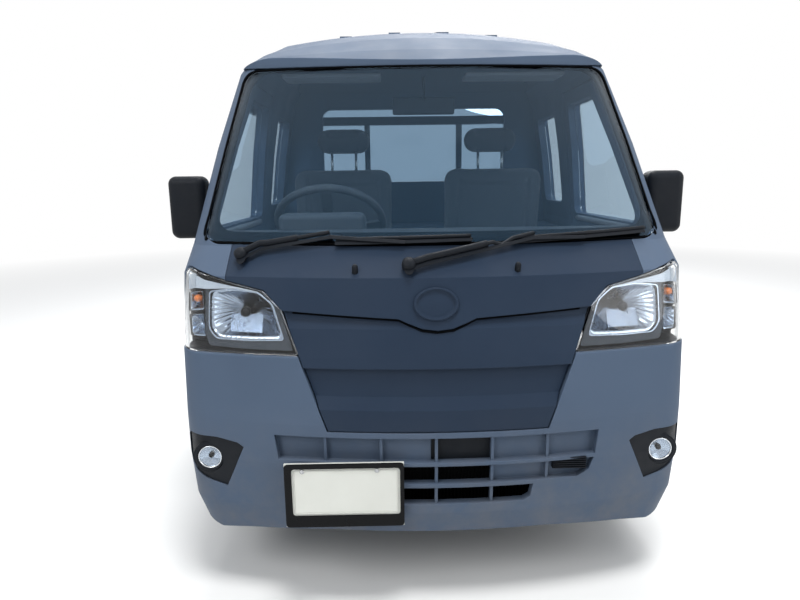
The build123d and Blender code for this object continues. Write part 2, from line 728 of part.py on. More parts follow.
def make_dashboard():
    dash = envelope(FIREWALL_DEPTH + TOUCH) & side_prism(DASH_PROFILE, -HALF_WIDTH, HALF_WIDTH)
    for side in (-1, 1):
        dash -= on_side(front_prism(lamp_outline(-TOUCH), AHEAD_Y, NOSE_DEPTH_Y + TOUCH), side)
    for side in (-1, 1):
        dash -= block(side * DASH_END_X, side * HALF_WIDTH, DOOR_FRONT_Y - 30, 600, 700, 1100)
    return dash - steering_plane(COLUMN_LENGTH) * extrude(Circle(COLUMN_R + TOUCH), COLUMN_LENGTH)


def make_seat_cushions():
    cushion = block(SEAT_X - SEAT_W / 2, SEAT_X + SEAT_W / 2, *CUSHION_Y, DECK_Z + TOUCH, DECK_Z + CUSHION_H)
    cushion = fillet(cushion.edges(), CUSHION_ROUND)
    return [cushion, mirrored(cushion)]


def make_seat_backs():
    """Each seat's back with its headrest, the two posts between them and the stand below."""
    back = side_prism(BACK_OUTLINE, SEAT_X - SEAT_W / 2 + 10, SEAT_X + SEAT_W / 2 - 10)
    back = fillet(back.edges(), BACK_ROUND)
    head = side_prism(HEADREST_OUTLINE, SEAT_X - HEADREST_W / 2, SEAT_X + HEADREST_W / 2)
    back += fillet(head.edges(), HEADREST_ROUND)
    for side in (-1, 1):
        back += block(SEAT_X + side * POST_X[0], SEAT_X + side * POST_X[1], *POST_Y, *POST_Z)
    back += block(SEAT_X - STAND_W / 2, SEAT_X + STAND_W / 2, *STAND_Y, DECK_Z + TOUCH, DECK_Z + STAND_H)
    return [back, mirrored(back)]


def steering_frame(along):
    """A place on the steering axis, measured down the column from the wheel's centre."""
    tilt = math.radians(STEER_TILT)
    return Vector(STEER_X, STEER_CENTRE_Y - along * math.sin(tilt), STEER_CENTRE_Z - along * math.cos(tilt))


def steering_plane(along):
    tilt = math.radians(STEER_TILT)
    return Plane(origin=steering_frame(along), x_dir=(1, 0, 0), z_dir=(0, math.sin(tilt), math.cos(tilt)))


def make_steering_wheel():
    rim = steering_plane(0) * Torus(STEER_R, STEER_TUBE_R)
    hub = steering_plane(HUB_DOWN) * extrude(Circle(HUB_R), HUB_LENGTH)
    wheel = rim + hub
    for angle in (0, 180, 270):
        spoke = Rot(0, -8, 0) * Box(STEER_R - 20, SPOKE_W, SPOKE_T)
        wheel += steering_plane(SPOKE_DOWN) * Rot(0, 0, angle) * Pos(STEER_R / 2 + 12, 0, 0) * spoke
    return wheel


def make_steering_column():
    return steering_plane(COLUMN_LENGTH) * extrude(Circle(COLUMN_R), COLUMN_LENGTH - HUB_DOWN - TOUCH)


def make_tyre():
    half = TYRE_W / 2
    profile = [
        (BEAD_R, -RIM_W / 2 + 9), (BEAD_R + 14, -RIM_W / 2 + 9), (TYRE_R - 55, -half), (TYRE_R - 24, -half + 2),
        (TYRE_R - 6, -half + 16), (TYRE_R, -half + 32), (TYRE_R, half - 32), (TYRE_R - 6, half - 16),
        (TYRE_R - 24, half - 2), (TYRE_R - 55, half), (BEAD_R + 14, RIM_W / 2 - 9), (BEAD_R, RIM_W / 2 - 9),
    ]
    ring = make_face(Polyline(*profile, close=True))
    return Rot(0, 90, 0) * revolve(Plane.XZ * ring, Axis.Z)


def make_rim():
    """A pressed steel wheel about the z axis, its outer face towards +z, with the brake drum behind the disc."""
    r = BEAD_R - TOUCH
    h = RIM_W / 2
    barrel_profile = [
        (r + 12, -h), (r + 12, -h + 4), (r, -h + 7), (r, -30), (r - 22, -18), (r - 22, 18), (r, 30), (r, h - 7),
        (r + 12, h - 4), (r + 12, h), (r - 5, h), (r - 5, 34), (r - 27, 20), (r - 27, -20), (r - 5, -34), (r - 5, -h),
    ]
    barrel_ring = revolve(Plane.XZ * make_face(Polyline(*barrel_profile, close=True)), Axis.Z)
    disc_profile = [
        (HUB_BORE_R, -4), (HUB_BORE_R, 4), (62, 4), (82, 24), (108, 24), (r - 24, 8), (r - 24, -4), (106, 14),
        (86, 14), (66, -4),
    ]
    disc = revolve(Plane.XZ * make_face(Polyline(*disc_profile, close=True)), Axis.Z)
    drum_profile = [
        (HUB_BORE_R, -4), (DRUM_R - 10, -4), (DRUM_R, -12), (DRUM_R, -4 - DRUM_W), (DRUM_R - 9, -4 - DRUM_W),
        (DRUM_R - 9, -14), (HUB_BORE_R, -14),
    ]
    drum = revolve(Plane.XZ * make_face(Polyline(*drum_profile, close=True)), Axis.Z)
    return barrel_ring + disc + drum


def wheel_at(side, y, shape):
    """A wheel piece made about z, turned to face outwards on one side."""
    return Pos(side * HALF_TRACK, y, TYRE_R) * Rot(0, side * 90, 0) * shape


def king_point(z):
    """A point on the steering axis of the left wheel."""
    slope = (KING_TOP[0] - KING_LOW[0]) / (KING_TOP[1] - KING_LOW[1])
    return (KING_LOW[0] + slope * (z - KING_LOW[1]), FRONT_AXLE_Y, z)


def make_knuckle():
    """The left knuckle: spindle, upright, strut tube and steering arm."""
    spindle = Pos(HALF_TRACK - 30, FRONT_AXLE_Y, TYRE_R) * Rot(0, 90, 0) * Cylinder(SPINDLE_R, SPINDLE_LENGTH)
    plate_x = HALF_TRACK - 4 - DRUM_W - SEAM - 8
    upright = block(plate_x - 26, plate_x, FRONT_AXLE_Y - 38, FRONT_AXLE_Y + 38, KING_LOW[1] + 6, TYRE_R + 90)
    shield = Pos(plate_x + 2, FRONT_AXLE_Y, TYRE_R) * Rot(0, 90, 0) * Cylinder(SHIELD_R, SHIELD_T)
    strut = rod(king_point(TYRE_R + 20), king_point(STRUT_TOP_Z), STRUT_R)
    clamp = block(plate_x - 50, plate_x - 10, FRONT_AXLE_Y - 30, FRONT_AXLE_Y + 30, TYRE_R + 30, TYRE_R + 88)
    arm = block(plate_x - 60, plate_x - 10, FRONT_AXLE_Y + 30, FRONT_AXLE_Y + 120, TYRE_R - 40, TYRE_R - 22)
    stud = rod(king_point(KING_LOW[1] + TOUCH), king_point(KING_LOW[1] + 12), STUD_R)
    return spindle + upright + shield + strut + clamp + arm + stud


def leaf_height(share):
    """The top of the spring at a share of the way from the axle to its eye."""
    return LEAF_TOP_Z - LEAF_SAG * (1 - share ** 2)


def make_leaf_spring():
    """Three leaves as one stepped piece, with the axle pad and the shackle at each end."""
    x0, x1 = LEAF_X
    top = [(REAR_AXLE_Y + LEAF_EYE_Y * k / 4, leaf_height(k / 4)) for k in range(-4, 5)]
    half = [(share, leaf_height(share) - LEAF_T * leaves) for share, leaves in LEAF_STEPS]
    under = [(REAR_AXLE_Y + LEAF_EYE_Y * share, z) for share, z in half]
    under += [(REAR_AXLE_Y - LEAF_EYE_Y * share, z) for share, z in reversed(half[:-1])]
    leaf = side_prism(top + under, x0, x1)
    pad_z = leaf_height(0) - 3 * LEAF_T
    leaf += block(x0, x1, REAR_AXLE_Y - 45, REAR_AXLE_Y + 45, TYRE_R + AXLE_R + TOUCH, pad_z + 5)
    rail_side = RAIL_X + RAIL_W / 2 + TOUCH
    hanger_top = RAIL_HIGH_Z[0] + 60
    for end in (-1, 1):
        y0 = REAR_AXLE_Y + end * (LEAF_EYE_Y - 14)
        y1 = REAR_AXLE_Y + end * (LEAF_EYE_Y + 16)
        leaf += block(x0, x1, y0, y1, LEAF_TOP_Z - 15, hanger_top)
        leaf += block(rail_side, x0 + 5, y0, y1, RAIL_HIGH_Z[0] + 10, hanger_top)
    return leaf


def make_suspension():
    """Front lower arms, strut rods with their top mounts, and the rear leaf springs."""
    pieces = []
    inner_x = RAIL_X + RAIL_W / 2 + TOUCH
    outer_end = (KING_LOW[0], FRONT_AXLE_Y, KING_LOW[1] - BOSS_LENGTH)
    arm = beam((inner_x, FRONT_AXLE_Y, KING_LOW[1] + 40), outer_end, 60, 20)
    arm += rod(king_point(KING_LOW[1] - BOSS_LENGTH), king_point(KING_LOW[1]), BOSS_R)
    arm = arm + block(inner_x, inner_x + 14, FRONT_AXLE_Y - 60, FRONT_AXLE_Y + 60, KING_LOW[1] + 15, RAIL_LOW_Z[1])
    pieces.append(arm)
    cap_z = DECK_Z - FLOOR_T - TOUCH - CAP_T
    rod_piece = rod(king_point(STRUT_TOP_Z + TOUCH), king_point(cap_z), STUD_R)
    cap = Pos(king_point(cap_z)[0], FRONT_AXLE_Y, cap_z + CAP_T / 2) * Cylinder(CAP_R, CAP_T)
    pieces.append(rod_piece + cap)
    pieces.append(make_leaf_spring())
    return pieces + [mirrored(piece) for piece in pieces]


def make_rear_axle():
    """Axle tube with differential, spindle ends and the propeller shaft in front."""
    plate_x = HALF_TRACK - 4 - DRUM_W - SEAM
    tube = Pos(0, REAR_AXLE_Y, TYRE_R) * Rot(0, 90, 0) * Cylinder(AXLE_R, 2 * plate_x)
    case = Pos(0, REAR_AXLE_Y, TYRE_R) * Sphere(CASE_R)
    case = case & block(-CASE_HALF_W, CASE_HALF_W, REAR_AXLE_Y - 100, REAR_AXLE_Y + 100, 150, 400)
    axle = tube + case
    for side in (-1, 1):
        axle += Pos(side * (plate_x + 25), REAR_AXLE_Y, TYRE_R) * Rot(0, 90, 0) * Cylinder(SPINDLE_R, 110)
        axle += Pos(side * (plate_x - 3), REAR_AXLE_Y, TYRE_R) * Rot(0, 90, 0) * Cylinder(SHIELD_R, SHIELD_T)
    axle += rod((0, REAR_AXLE_Y - 60, TYRE_R + 8), (0, GEARBOX_END_Y + TOUCH + 3, SHAFT_FRONT_Z), SHAFT_R)
    return axle


def make_engine():
    """The engine as one plain block with the gearbox behind it."""
    engine = block(-ENGINE_HALF_W, ENGINE_HALF_W, *ENGINE_Y, *ENGINE_Z)
    return engine + block(-GEARBOX_HALF_W, GEARBOX_HALF_W, ENGINE_Y[1] - 10, GEARBOX_END_Y, *GEARBOX_Z)


def make_frame_rails():
    """The two cranked rails."""
    low0, low1 = RAIL_LOW_Z
    high0, high1 = RAIL_HIGH_Z
    kink = LOWER_BACK_Y - 340
    profile = [
        (FRAME_START_Y, low0), (kink + 40, low0), (kink + 200, high0), (FRAME_END_Y, high0), (FRAME_END_Y, high1),
        (kink + 160, high1), (kink, low1), (FRAME_START_Y, low1),
    ]
    rail = side_prism(profile, RAIL_X - RAIL_W / 2, RAIL_X + RAIL_W / 2)
    return [rail, mirrored(rail)]


def make_cross_members():
    """The members between the rails, the last one with the tow eye, and the carrier of the spare wheel."""
    low0, low1 = RAIL_LOW_Z
    high0, high1 = RAIL_HIGH_Z
    half = RAIL_X - RAIL_W / 2 - TOUCH
    members = [block(-half, half, y, y + CROSS_W, low0, low1 - 20) for y in (FRAME_START_Y + 15, 500)]
    for y in (LOWER_BACK_Y + 140, REAR_AXLE_Y - 515, REAR_AXLE_Y - 65):
        members.append(block(-half, half, y, y + CROSS_W, high0 + 38, high1))
    last = block(-half, half, FRAME_END_Y - CROSS_W, FRAME_END_Y, high0 + 38, high1)
    last += block(-8, 8, FRAME_END_Y - 30, FRAME_END_Y + 22, TOW_EYE_Z - 30, high1 - 40)
    last -= Pos(0, FRAME_END_Y - 4, TOW_EYE_Z) * Rot(0, 90, 0) * Cylinder(TOW_EYE_R, CROSS_W)
    under = SPARE_Z - TYRE_W / 2 - TOUCH
    carrier = block(-half, half, SPARE_Y - 20, SPARE_Y + 20, under - CARRIER_T, under)
    for side in (-1, 1):
        x0, x1 = side * (half - CARRIER_T), side * half
        carrier += block(x0, x1, SPARE_Y - 20, SPARE_Y + 20, under - CARRIER_T, high0 + 60)
    return members + [last, carrier]


def gate_barrels(own, start, length):
    """The spans of the hinge barrels along one gate: the middle ones on the gate, the outer ones on the bed."""
    spans = [(-20, 20)] if own == "gate" else [(-40, -20 - TOUCH), (20 + TOUCH, 40)]
    middles = [start + share * length for share in BARREL_SPOTS]
    return [(middle + low, middle + high) for middle in middles for low, high in spans]


def side_barrel(low, high, radius):
    """A hinge barrel on the side gate's axis."""
    return Pos(GATE_OUTER_X, (low + high) / 2, GATE_BOTTOM_Z) * Rot(90, 0, 0) * Cylinder(radius, high - low)


def tail_barrel(low, high, radius):
    """A hinge barrel on the tailgate's axis."""
    return Pos((low + high) / 2, TAILGATE_Y, GATE_BOTTOM_Z) * Rot(0, 90, 0) * Cylinder(radius, high - low)


def make_bed_floor():
    edge = GATE_OUTER_X - GATE_T - 7
    end_y = TAIL_Y - GATE_T - 14
    floor = block(-edge, edge, BED_FRONT_Y, end_y, BED_Z - 22, BED_Z)
    first = BED_FRONT_Y + 42
    pitch = (TAIL_Y - 213 - first) / (BEARERS - 1)
    for number in range(BEARERS):
        y = first + number * pitch
        floor += block(-edge + 10, edge - 10, y, y + BEARER_W, RAIL_HIGH_Z[1] + TOUCH, BED_Z - 20)
    for side in (-1, 1):
        x0, rail_z = side * (edge - 60), BED_Z - 70
        floor += block(x0, side * (GATE_OUTER_X - 8), BED_FRONT_Y, end_y, rail_z, GATE_BOTTOM_Z - SEAM - 6)
        floor += block(x0, side * edge, BED_FRONT_Y, end_y, rail_z, BED_Z - 10)
    floor += block(-edge, edge, BED_FRONT_Y, GUARD_Y[1] + 10, BED_Z - 10, BED_Z + BED_SILL)
    back = TAILGATE_Y - GATE_T - 8
    floor += block(-edge, edge, back - 26, back, BED_Z - 90, BED_Z - 10)
    bracket_z = (GATE_BOTTOM_Z - SEAM - 8, GATE_BOTTOM_Z - 4)
    for low, high in gate_barrels("bed", GATE_FRONT_Y, SIDE_GATE_LENGTH):
        bracket = block(GATE_OUTER_X - 22, GATE_OUTER_X - 3, low, high, *bracket_z)
        piece = side_barrel(low, high, BARREL_R) + bracket
        floor += piece
        floor += mirrored(piece)
    for low, high in gate_barrels("bed", -GATE_OUTER_X, 2 * GATE_OUTER_X):
        floor += tail_barrel(low, high, BARREL_R) + block(low, high, back - 10, TAILGATE_Y - 3, *bracket_z)
    return floor


def make_gate():
    length = SIDE_GATE_LENGTH
    x1 = GATE_OUTER_X
    gate = block(x1 - GATE_T, x1, GATE_FRONT_Y, GATE_FRONT_Y + length, GATE_BOTTOM_Z, GATE_TOP_Z)
    for low, high in gate_barrels("bed", GATE_FRONT_Y, length):
        gate -= side_barrel(low - TOUCH, high + TOUCH, BARREL_R + BARREL_CLEAR)
    for low, high in gate_barrels("gate", GATE_FRONT_Y, length):
        gate += side_barrel(low, high, BARREL_R)
    count = 5
    pitch = length / count
    for number in range(count):
        y0 = GATE_FRONT_Y + pitch * number + 30
        gate -= block(x1 - 8, x1 + 5, y0, y0 + pitch - 60, GATE_BOTTOM_Z + 40, GATE_TOP_Z - 60)
    return gate


def make_tailgate():
    half = GATE_OUTER_X
    y1 = TAILGATE_Y
    gate = block(-half, half, y1 - GATE_T, y1, GATE_BOTTOM_Z, GATE_TOP_Z)
    for low, high in gate_barrels("bed", -half, 2 * half):
        gate -= tail_barrel(low - TOUCH, high + TOUCH, BARREL_R + BARREL_CLEAR)
    for low, high in gate_barrels("gate", -half, 2 * half):
        gate += tail_barrel(low, high, BARREL_R)
    count = 4
    pitch = 2 * half / count
    for number in range(count):
        x0 = -half + pitch * number + 30
        gate -= block(x0, x0 + pitch - 60, y1 - 8, y1 + 5, GATE_BOTTOM_Z + 40, GATE_TOP_Z - 60)
    return gate


def make_guard_frame():
    y0, y1 = GUARD_Y
    guard = None
    post_w, bar_w = GUARD_POST_W / 2, GUARD_BAR_W / 2
    for x in (-GUARD_POST_X, GUARD_POST_X):
        post = block(x - post_w, x + post_w, y0, y1, BED_Z + BED_SILL + TOUCH, GUARD_TOP_Z[1])
        guard = post if guard is None else guard + post
    guard += block(-GUARD_HALF_W, GUARD_HALF_W, y0, y1, *GUARD_TOP_Z)
    guard += block(-GUARD_HALF_W, GUARD_HALF_W, y0, y1, *GUARD_LOW_Z)
    for x in (-GUARD_BAR_X, GUARD_BAR_X):
        guard += block(x - bar_w, x + bar_w, y0 + 5, y1 - 5, GUARD_LOW_Z[0] + 15, GUARD_TOP_Z[0] + 20)
    return guard


def make_tail_lamps():
    back = TAILGATE_Y - GATE_T - 8
    low, high = TAIL_LAMP_DROP
    lamp = block(*TAIL_LAMP_X, back + TOUCH, TAILGATE_Y - SEAM, BED_Z - low, BED_Z - high)
    return [lamp, mirrored(lamp)]


def make_mudflaps():
    y = REAR_AXLE_Y + FLAP_BEHIND
    flap = block(*FLAP_X, y, y + FLAP_T, FLAP_BOTTOM_Z, BED_Z - 70 - TOUCH)
    return [flap, mirrored(flap)]


def make_licence_plate():
    """The blank plate with its frame in one, on four studs that reach back to the bumper."""
    plate = block(*PLATE_X, -PLATE_PROUD, -PLATE_PROUD + PLATE_T, *PLATE_Z)
    for x in PLATE_STUD_X:
        for z in PLATE_STUD_Z:
            plate += block(x - 14, x + 14, -PLATE_PROUD + 6, 70, z - 6, z + 6) - envelope(-TOUCH)
    return plate


def make_spare():
    tyre = Rot(0, 90, 0) * make_tyre()
    rim = make_rim()
    return [Pos(0, SPARE_Y, SPARE_Z) * tyre, Pos(0, SPARE_Y, SPARE_Z) * rim]


def make_fuel_tank():
    return block(RAIL_X + RAIL_W / 2 + TOUCH, TANK_OUTER_X, *TANK_Y, *TANK_Z)


def make_exhaust():
    """Muffler, tail pipe and the bracket that holds them to the rail."""
    x, y, z = MUFFLER
    muffler = Pos(x, y, z) * Rot(90, 0, 0) * Cylinder(MUFFLER_R, MUFFLER_LENGTH)
    pipe = rod(*TAIL_PIPE, TAIL_PIPE_R)
    bracket = block(-RAIL_X - RAIL_W / 2 - TOUCH, x, y - 10, y + 10, z + 50, z + MUFFLER_R)
    return muffler + bracket + pipe


def make_mirror():
    """The left door mirror: head and arm."""
    spans = [value for span in MIRROR_HEAD for value in span]
    head = fillet(block(*spans).edges(), MIRROR_ROUND)
    spans = [value for span in MIRROR_ARM for value in span]
    return (head + block(*spans)) - envelope(-TOUCH)


def export(name, shape):
    """Writes one node."""
    pieces = shape if isinstance(shape, list) else [shape]
    solids = [solid for piece in pieces for solid in place(piece).solids()]
    joined = solids[0] if len(solids) == 1 else Compound(children=solids)
    export_step(joined, f"parts/{name}.step")


def main():
    os.makedirs("parts", exist_ok=True)
    left_and_right = {
        "cab_side": make_cab_side(),
        "door_glass": make_door_glass(),
        "mirror": make_mirror(),
        "gate": make_gate(),
        "knuckle": make_knuckle(),
    }
    for name, shape in left_and_right.items():
        export(f"{name}_left", shape)
        export(f"{name}_right", mirrored(shape))
    export("door_left", make_door(1))
    export("door_right", make_door(-1))
    for end, y in (("front", FRONT_AXLE_Y), ("rear", REAR_AXLE_Y)):
        for name, side in (("left", 1), ("right", -1)):
            tyre = Rot(0, -90, 0) * make_tyre()
            export(f"tyre_{end}_{name}", wheel_at(side, y, tyre))
            export(f"rim_{end}_{name}", wheel_at(side, y, make_rim()))
    singles = {
        "cab_roof": make_roof,
        "cab_back": make_cab_back,
        "cab_windows": make_cab_windows,
        "windshield": make_windshield,
        "wipers": make_wipers,
        "firewall": make_firewall,
        "front_panel": make_front_panel,
        "front_bumper": make_front_bumper,
        "lamp_housings": make_lamp_housings,
        "lamp_lenses": make_lamp_lenses,
        "cab_floor": make_cab_floor,
        "dashboard": make_dashboard,
        "seat_cushions": make_seat_cushions,
        "seat_backs": make_seat_backs,
        "steering_wheel": make_steering_wheel,
        "steering_column": make_steering_column,
        "suspension": make_suspension,
        "rear_axle": make_rear_axle,
        "engine_block": make_engine,
        "frame_rails": make_frame_rails,
        "cross_members": make_cross_members,
        "bed_floor": make_bed_floor,
        "tailgate": make_tailgate,
        "guard_frame": make_guard_frame,
        "tail_lamps": make_tail_lamps,
        "mudflaps": make_mudflaps,
        "licence_plate": make_licence_plate,
        "spare_wheel": make_spare,
        "fuel_tank": make_fuel_tank,
        "exhaust": make_exhaust,
    }
    for name, make in singles.items():
        export(name, make())


main()
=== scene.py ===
import math

import bmesh
import bpy
from mathutils import Matrix, Vector


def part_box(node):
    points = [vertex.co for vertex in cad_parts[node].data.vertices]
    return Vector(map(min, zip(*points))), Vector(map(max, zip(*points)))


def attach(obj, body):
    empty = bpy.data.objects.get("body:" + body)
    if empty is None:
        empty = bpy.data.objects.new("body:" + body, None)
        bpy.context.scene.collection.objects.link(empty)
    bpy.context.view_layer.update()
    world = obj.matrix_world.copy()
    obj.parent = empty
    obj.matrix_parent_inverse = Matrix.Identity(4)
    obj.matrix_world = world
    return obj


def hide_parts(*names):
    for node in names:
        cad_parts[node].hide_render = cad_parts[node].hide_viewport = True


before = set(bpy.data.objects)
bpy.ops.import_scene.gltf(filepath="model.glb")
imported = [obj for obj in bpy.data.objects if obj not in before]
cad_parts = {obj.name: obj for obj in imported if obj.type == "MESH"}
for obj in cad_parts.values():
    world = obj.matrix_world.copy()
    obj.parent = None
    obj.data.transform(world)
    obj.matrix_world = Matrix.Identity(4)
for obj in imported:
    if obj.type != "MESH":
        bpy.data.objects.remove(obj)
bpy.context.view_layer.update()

# The scene is in metres. The truck faces -Y, the driver sits on the -X side and z is height above ground.
# A distance behind the bumper's front, as the CAD source uses it, is turned into y by adding FRONT_Y.
FRONT_Y = -1.6855
FRONT_AXLE_Y = 0.815 + FRONT_Y
REAR_AXLE_Y = 2.715 + FRONT_Y
SPARE_Y = 3.025 + FRONT_Y
SPARE_RIM_R = 0.1515
HALF_TRACK = 0.652
TYRE_R = 0.2685
REAR_GLASS_Y = -0.06
SIDES = {"left": 1, "right": -1}

# Rays that look for a surface start ahead of the truck, behind its windshield or beside it.
AHEAD_Y = -4.0
WITHIN_Y = 2.0
BESIDE_X = 3.0


# Camera, at the photograph's place and angle
CAMERA_X = -0.120
CAMERA_AHEAD = 1.5266
CAMERA_Z = 1.220
CAMERA_YAW = 0.714
CAMERA_PITCH = 11.310
CAMERA_ROLL = 0.725
CAMERA_CLIP = 0.02
FOCAL_PIXELS = 601.0
FRAME_PIXELS = 800.0
SENSOR = 36.0


def make_camera():
    data = bpy.data.cameras.new("photo_camera")
    data.sensor_fit = "HORIZONTAL"
    data.sensor_width = SENSOR
    data.lens = FOCAL_PIXELS / FRAME_PIXELS * SENSOR
    data.clip_start = CAMERA_CLIP
    camera = bpy.data.objects.new("photo_camera", data)
    bpy.context.scene.collection.objects.link(camera)
    place = Matrix.Translation((CAMERA_X, FRONT_Y - CAMERA_AHEAD, CAMERA_Z))
    turn = Matrix.Rotation(-math.radians(CAMERA_YAW), 4, "Z")
    tip = Matrix.Rotation(math.radians(90 - CAMERA_PITCH), 4, "X")
    roll = Matrix.Rotation(-math.radians(CAMERA_ROLL), 4, "Z")
    camera.matrix_world = place @ turn @ tip @ roll
    bpy.context.scene.camera = camera


# Materials


def linear(red, green, blue):
    """A colour written as 8-bit screen values, as a shader takes it."""
    values = []
    for value in (red, green, blue):
        share = value / 255
        values.append(share / 12.92 if share <= 0.04045 else ((share + 0.055) / 1.055) ** 2.4)
    return (*values, 1.0)


def shade(colour, factor, lift=0.0):
    """A darker or paler form of a colour."""
    return (*[min(1, value * factor + lift) for value in colour[:3]], 1)


def add_node(tree, kind, inputs=(), **settings):
    """Adds a shader node. Its inputs, by name or number, are values or other nodes' outputs."""
    made = tree.nodes.new(kind)
    for key, value in settings.items():
        setattr(made, key, value)
    for key, value in dict(inputs).items():
        if isinstance(value, bpy.types.NodeSocket):
            tree.links.new(value, made.inputs[key])
        else:
            made.inputs[key].default_value = value
    return made


class Surface:
    """One node material: its shader and short calls that add what drives it."""

    def __init__(self, name, colour, roughness, metallic=0.0):
        self.material = bpy.data.materials.new(name)
        self.material.use_nodes = True
        self.tree = self.material.node_tree
        self.shader = self.tree.nodes["Principled BSDF"]
        self.colour = colour
        self.normal = None
        self.set("Base Color", colour)
        self.set("Roughness", roughness)
        self.set("Metallic", metallic)

    def set(self, socket, value):
        self.shader.inputs[socket].default_value = value

    def node(self, kind, inputs=(), **settings):
        return add_node(self.tree, kind, inputs, **settings)

    def drive(self, socket, output):
        self.tree.links.new(output, self.shader.inputs[socket])

    def place(self):
        return self.node("ShaderNodeTexCoord").outputs["Object"]

    def noise(self, scale, detail=3.0, rough=0.55):
        inputs = {"Vector": self.place(), "Scale": scale, "Detail": detail, "Roughness": rough}
        return self.node("ShaderNodeTexNoise", inputs).outputs["Fac"]

    def cells(self, scale):
        return self.node("ShaderNodeTexVoronoi", {"Vector": self.place(), "Scale": scale}).outputs["Distance"]

    def waves(self, axis, scale, **more):
        inputs = {"Vector": self.place(), "Scale": scale, **more}
        return self.node("ShaderNodeTexWave", inputs, bands_direction=axis).outputs["Fac"]

    def span(self, value, low, high, to_low=0.0, to_high=1.0):
        inputs = {"Value": value, "From Min": low, "From Max": high, "To Min": to_low, "To Max": to_high}
        return self.node("ShaderNodeMapRange", inputs).outputs["Result"]

    def times(self, one, two):
        return self.node("ShaderNodeMath", {0: one, 1: two}, operation="MULTIPLY").outputs[0]

    def tint(self, share, colour):
        """Mixes another colour in where share is 1."""
        mix = self.node("ShaderNodeMix", {0: share, 6: self.colour, 7: colour}, data_type="RGBA")
        self.colour = mix.outputs[2]
        self.drive("Base Color", self.colour)

    def patches(self, noise, low, high, share, colour):
        """Cloudy patches of another colour."""
        self.tint(self.times(self.span(self.noise(*noise), low, high), share), colour)

    def rough(self, value, low, high):
        self.drive("Roughness", self.span(value, 0.3, 0.7, low, high))

    def bump(self, height, distance):
        made = self.node("ShaderNodeBump", {"Height": height, "Distance": distance, "Strength": 1.0})
        if self.normal is not None:
            self.tree.links.new(self.normal, made.inputs["Normal"])
        self.normal = made.outputs["Normal"]
        self.drive("Normal", self.normal)

    def round_edges(self, radius):
        self.normal = self.node("ShaderNodeBevel", {"Radius": radius}, samples=4).outputs["Normal"]
        self.drive("Normal", self.normal)

    def edge_share(self, radius):
        """How close a point is to a sharp edge, from 0 to 1."""
        self.round_edges(radius)
        flat = self.node("ShaderNodeNewGeometry").outputs["Normal"]
        made = self.node("ShaderNodeVectorMath", {0: self.normal, 1: flat}, operation="DOT_PRODUCT")
        return self.span(made.outputs["Value"], 0.995, 0.90)

    def height_above(self, low, high):
        """1 at or below a height above the ground, 0 at or above another."""
        z = self.node("ShaderNodeSeparateXYZ", {"Vector": self.place()}).outputs["Z"]
        return self.span(z, low, high, 1.0, 0.0)

    def facing_up(self):
        normal = self.node("ShaderNodeNewGeometry").outputs["Normal"]
        z = self.node("ShaderNodeSeparateXYZ", {"Vector": normal}).outputs["Z"]
        return self.span(z, 0.35, 1.0)

    def show_instead(self, share, shader):
        """Shows another shader where share is 1."""
        mix = self.node("ShaderNodeMixShader", {0: share, 1: self.shader.outputs[0], 2: shader.outputs[0]})
        self.tree.links.new(mix.outputs[0], self.tree.nodes["Material Output"].inputs["Surface"])


ROAD_DUST = linear(128, 118, 102)
SOOT = (0.03, 0.025, 0.02, 1)
RUST = linear(92, 60, 40)


def paint(name, colour, roughness, grain=0.00012, wear=0.25, dusty=0.5):
    """Matt sprayed paint: faint mottling, a fine grain, paler edges and dust low down and on top."""
    surface = Surface(name, colour, roughness)
    surface.set("Specular IOR Level", 0.18)
    edge = surface.edge_share(0.004)
    surface.tint(surface.span(surface.noise(2.2, 4), 0.35, 0.75, 0.0, 0.6), shade(colour, 0.82))
    surface.tint(surface.times(edge, wear), shade(colour, 1.7, 0.01))
    low = surface.times(surface.height_above(0.25, 0.62), surface.span(surface.noise(9, 6, 0.7), 0.35, 0.8))
    surface.tint(surface.times(low, dusty), ROAD_DUST)
    top = surface.times(surface.facing_up(), surface.span(surface.noise(5, 5, 0.65), 0.3, 0.8))
    surface.tint(surface.times(top, dusty * 0.35), ROAD_DUST)
    surface.rough(surface.noise(6, 4), roughness - 0.06, roughness + 0.1)
    surface.bump(surface.noise(900, 2, 0.6), grain)
    return surface.material


def plastic(name, colour, roughness, grain=0.00025, scale=700, dusty=0.2, shine=0.35):
    """Moulded plastic with a pebbled grain."""
    surface = Surface(name, colour, roughness)
    surface.set("Specular IOR Level", shine)
    surface.round_edges(0.0025)
    surface.patches((12, 5, 0.7), 0.4, 0.8, dusty, ROAD_DUST)
    surface.rough(surface.noise(30, 3), roughness - 0.07, roughness + 0.1)
    surface.bump(surface.cells(scale), grain)
    return surface.material


def metal(name, colour, roughness, metallic=0.9, dirt=0.3, dirt_colour=SOOT, grain=0.0004, scale=160):
    """Bare, cast or plated metal with dirt in patches."""
    surface = Surface(name, colour, roughness, metallic)
    surface.round_edges(0.002)
    surface.patches((14, 6, 0.7), 0.42, 0.75, dirt, dirt_colour)
    surface.rough(surface.noise(22, 4), roughness - 0.08, roughness + 0.18)
    surface.bump(surface.noise(scale, 3, 0.6), grain)
    return surface.material


def underseal(name, colour):
    """Dark underseal with dust and a little rust."""
    surface = Surface(name, colour, 0.6)
    surface.round_edges(0.003)
    surface.patches((11, 7, 0.7), 0.5, 0.75, 0.45, RUST)
    surface.patches((5, 6, 0.6), 0.35, 0.8, 0.5, ROAD_DUST)
    surface.rough(surface.noise(18, 4), 0.5, 0.85)
    surface.bump(surface.noise(120, 4, 0.65), 0.0008)
    return surface.material


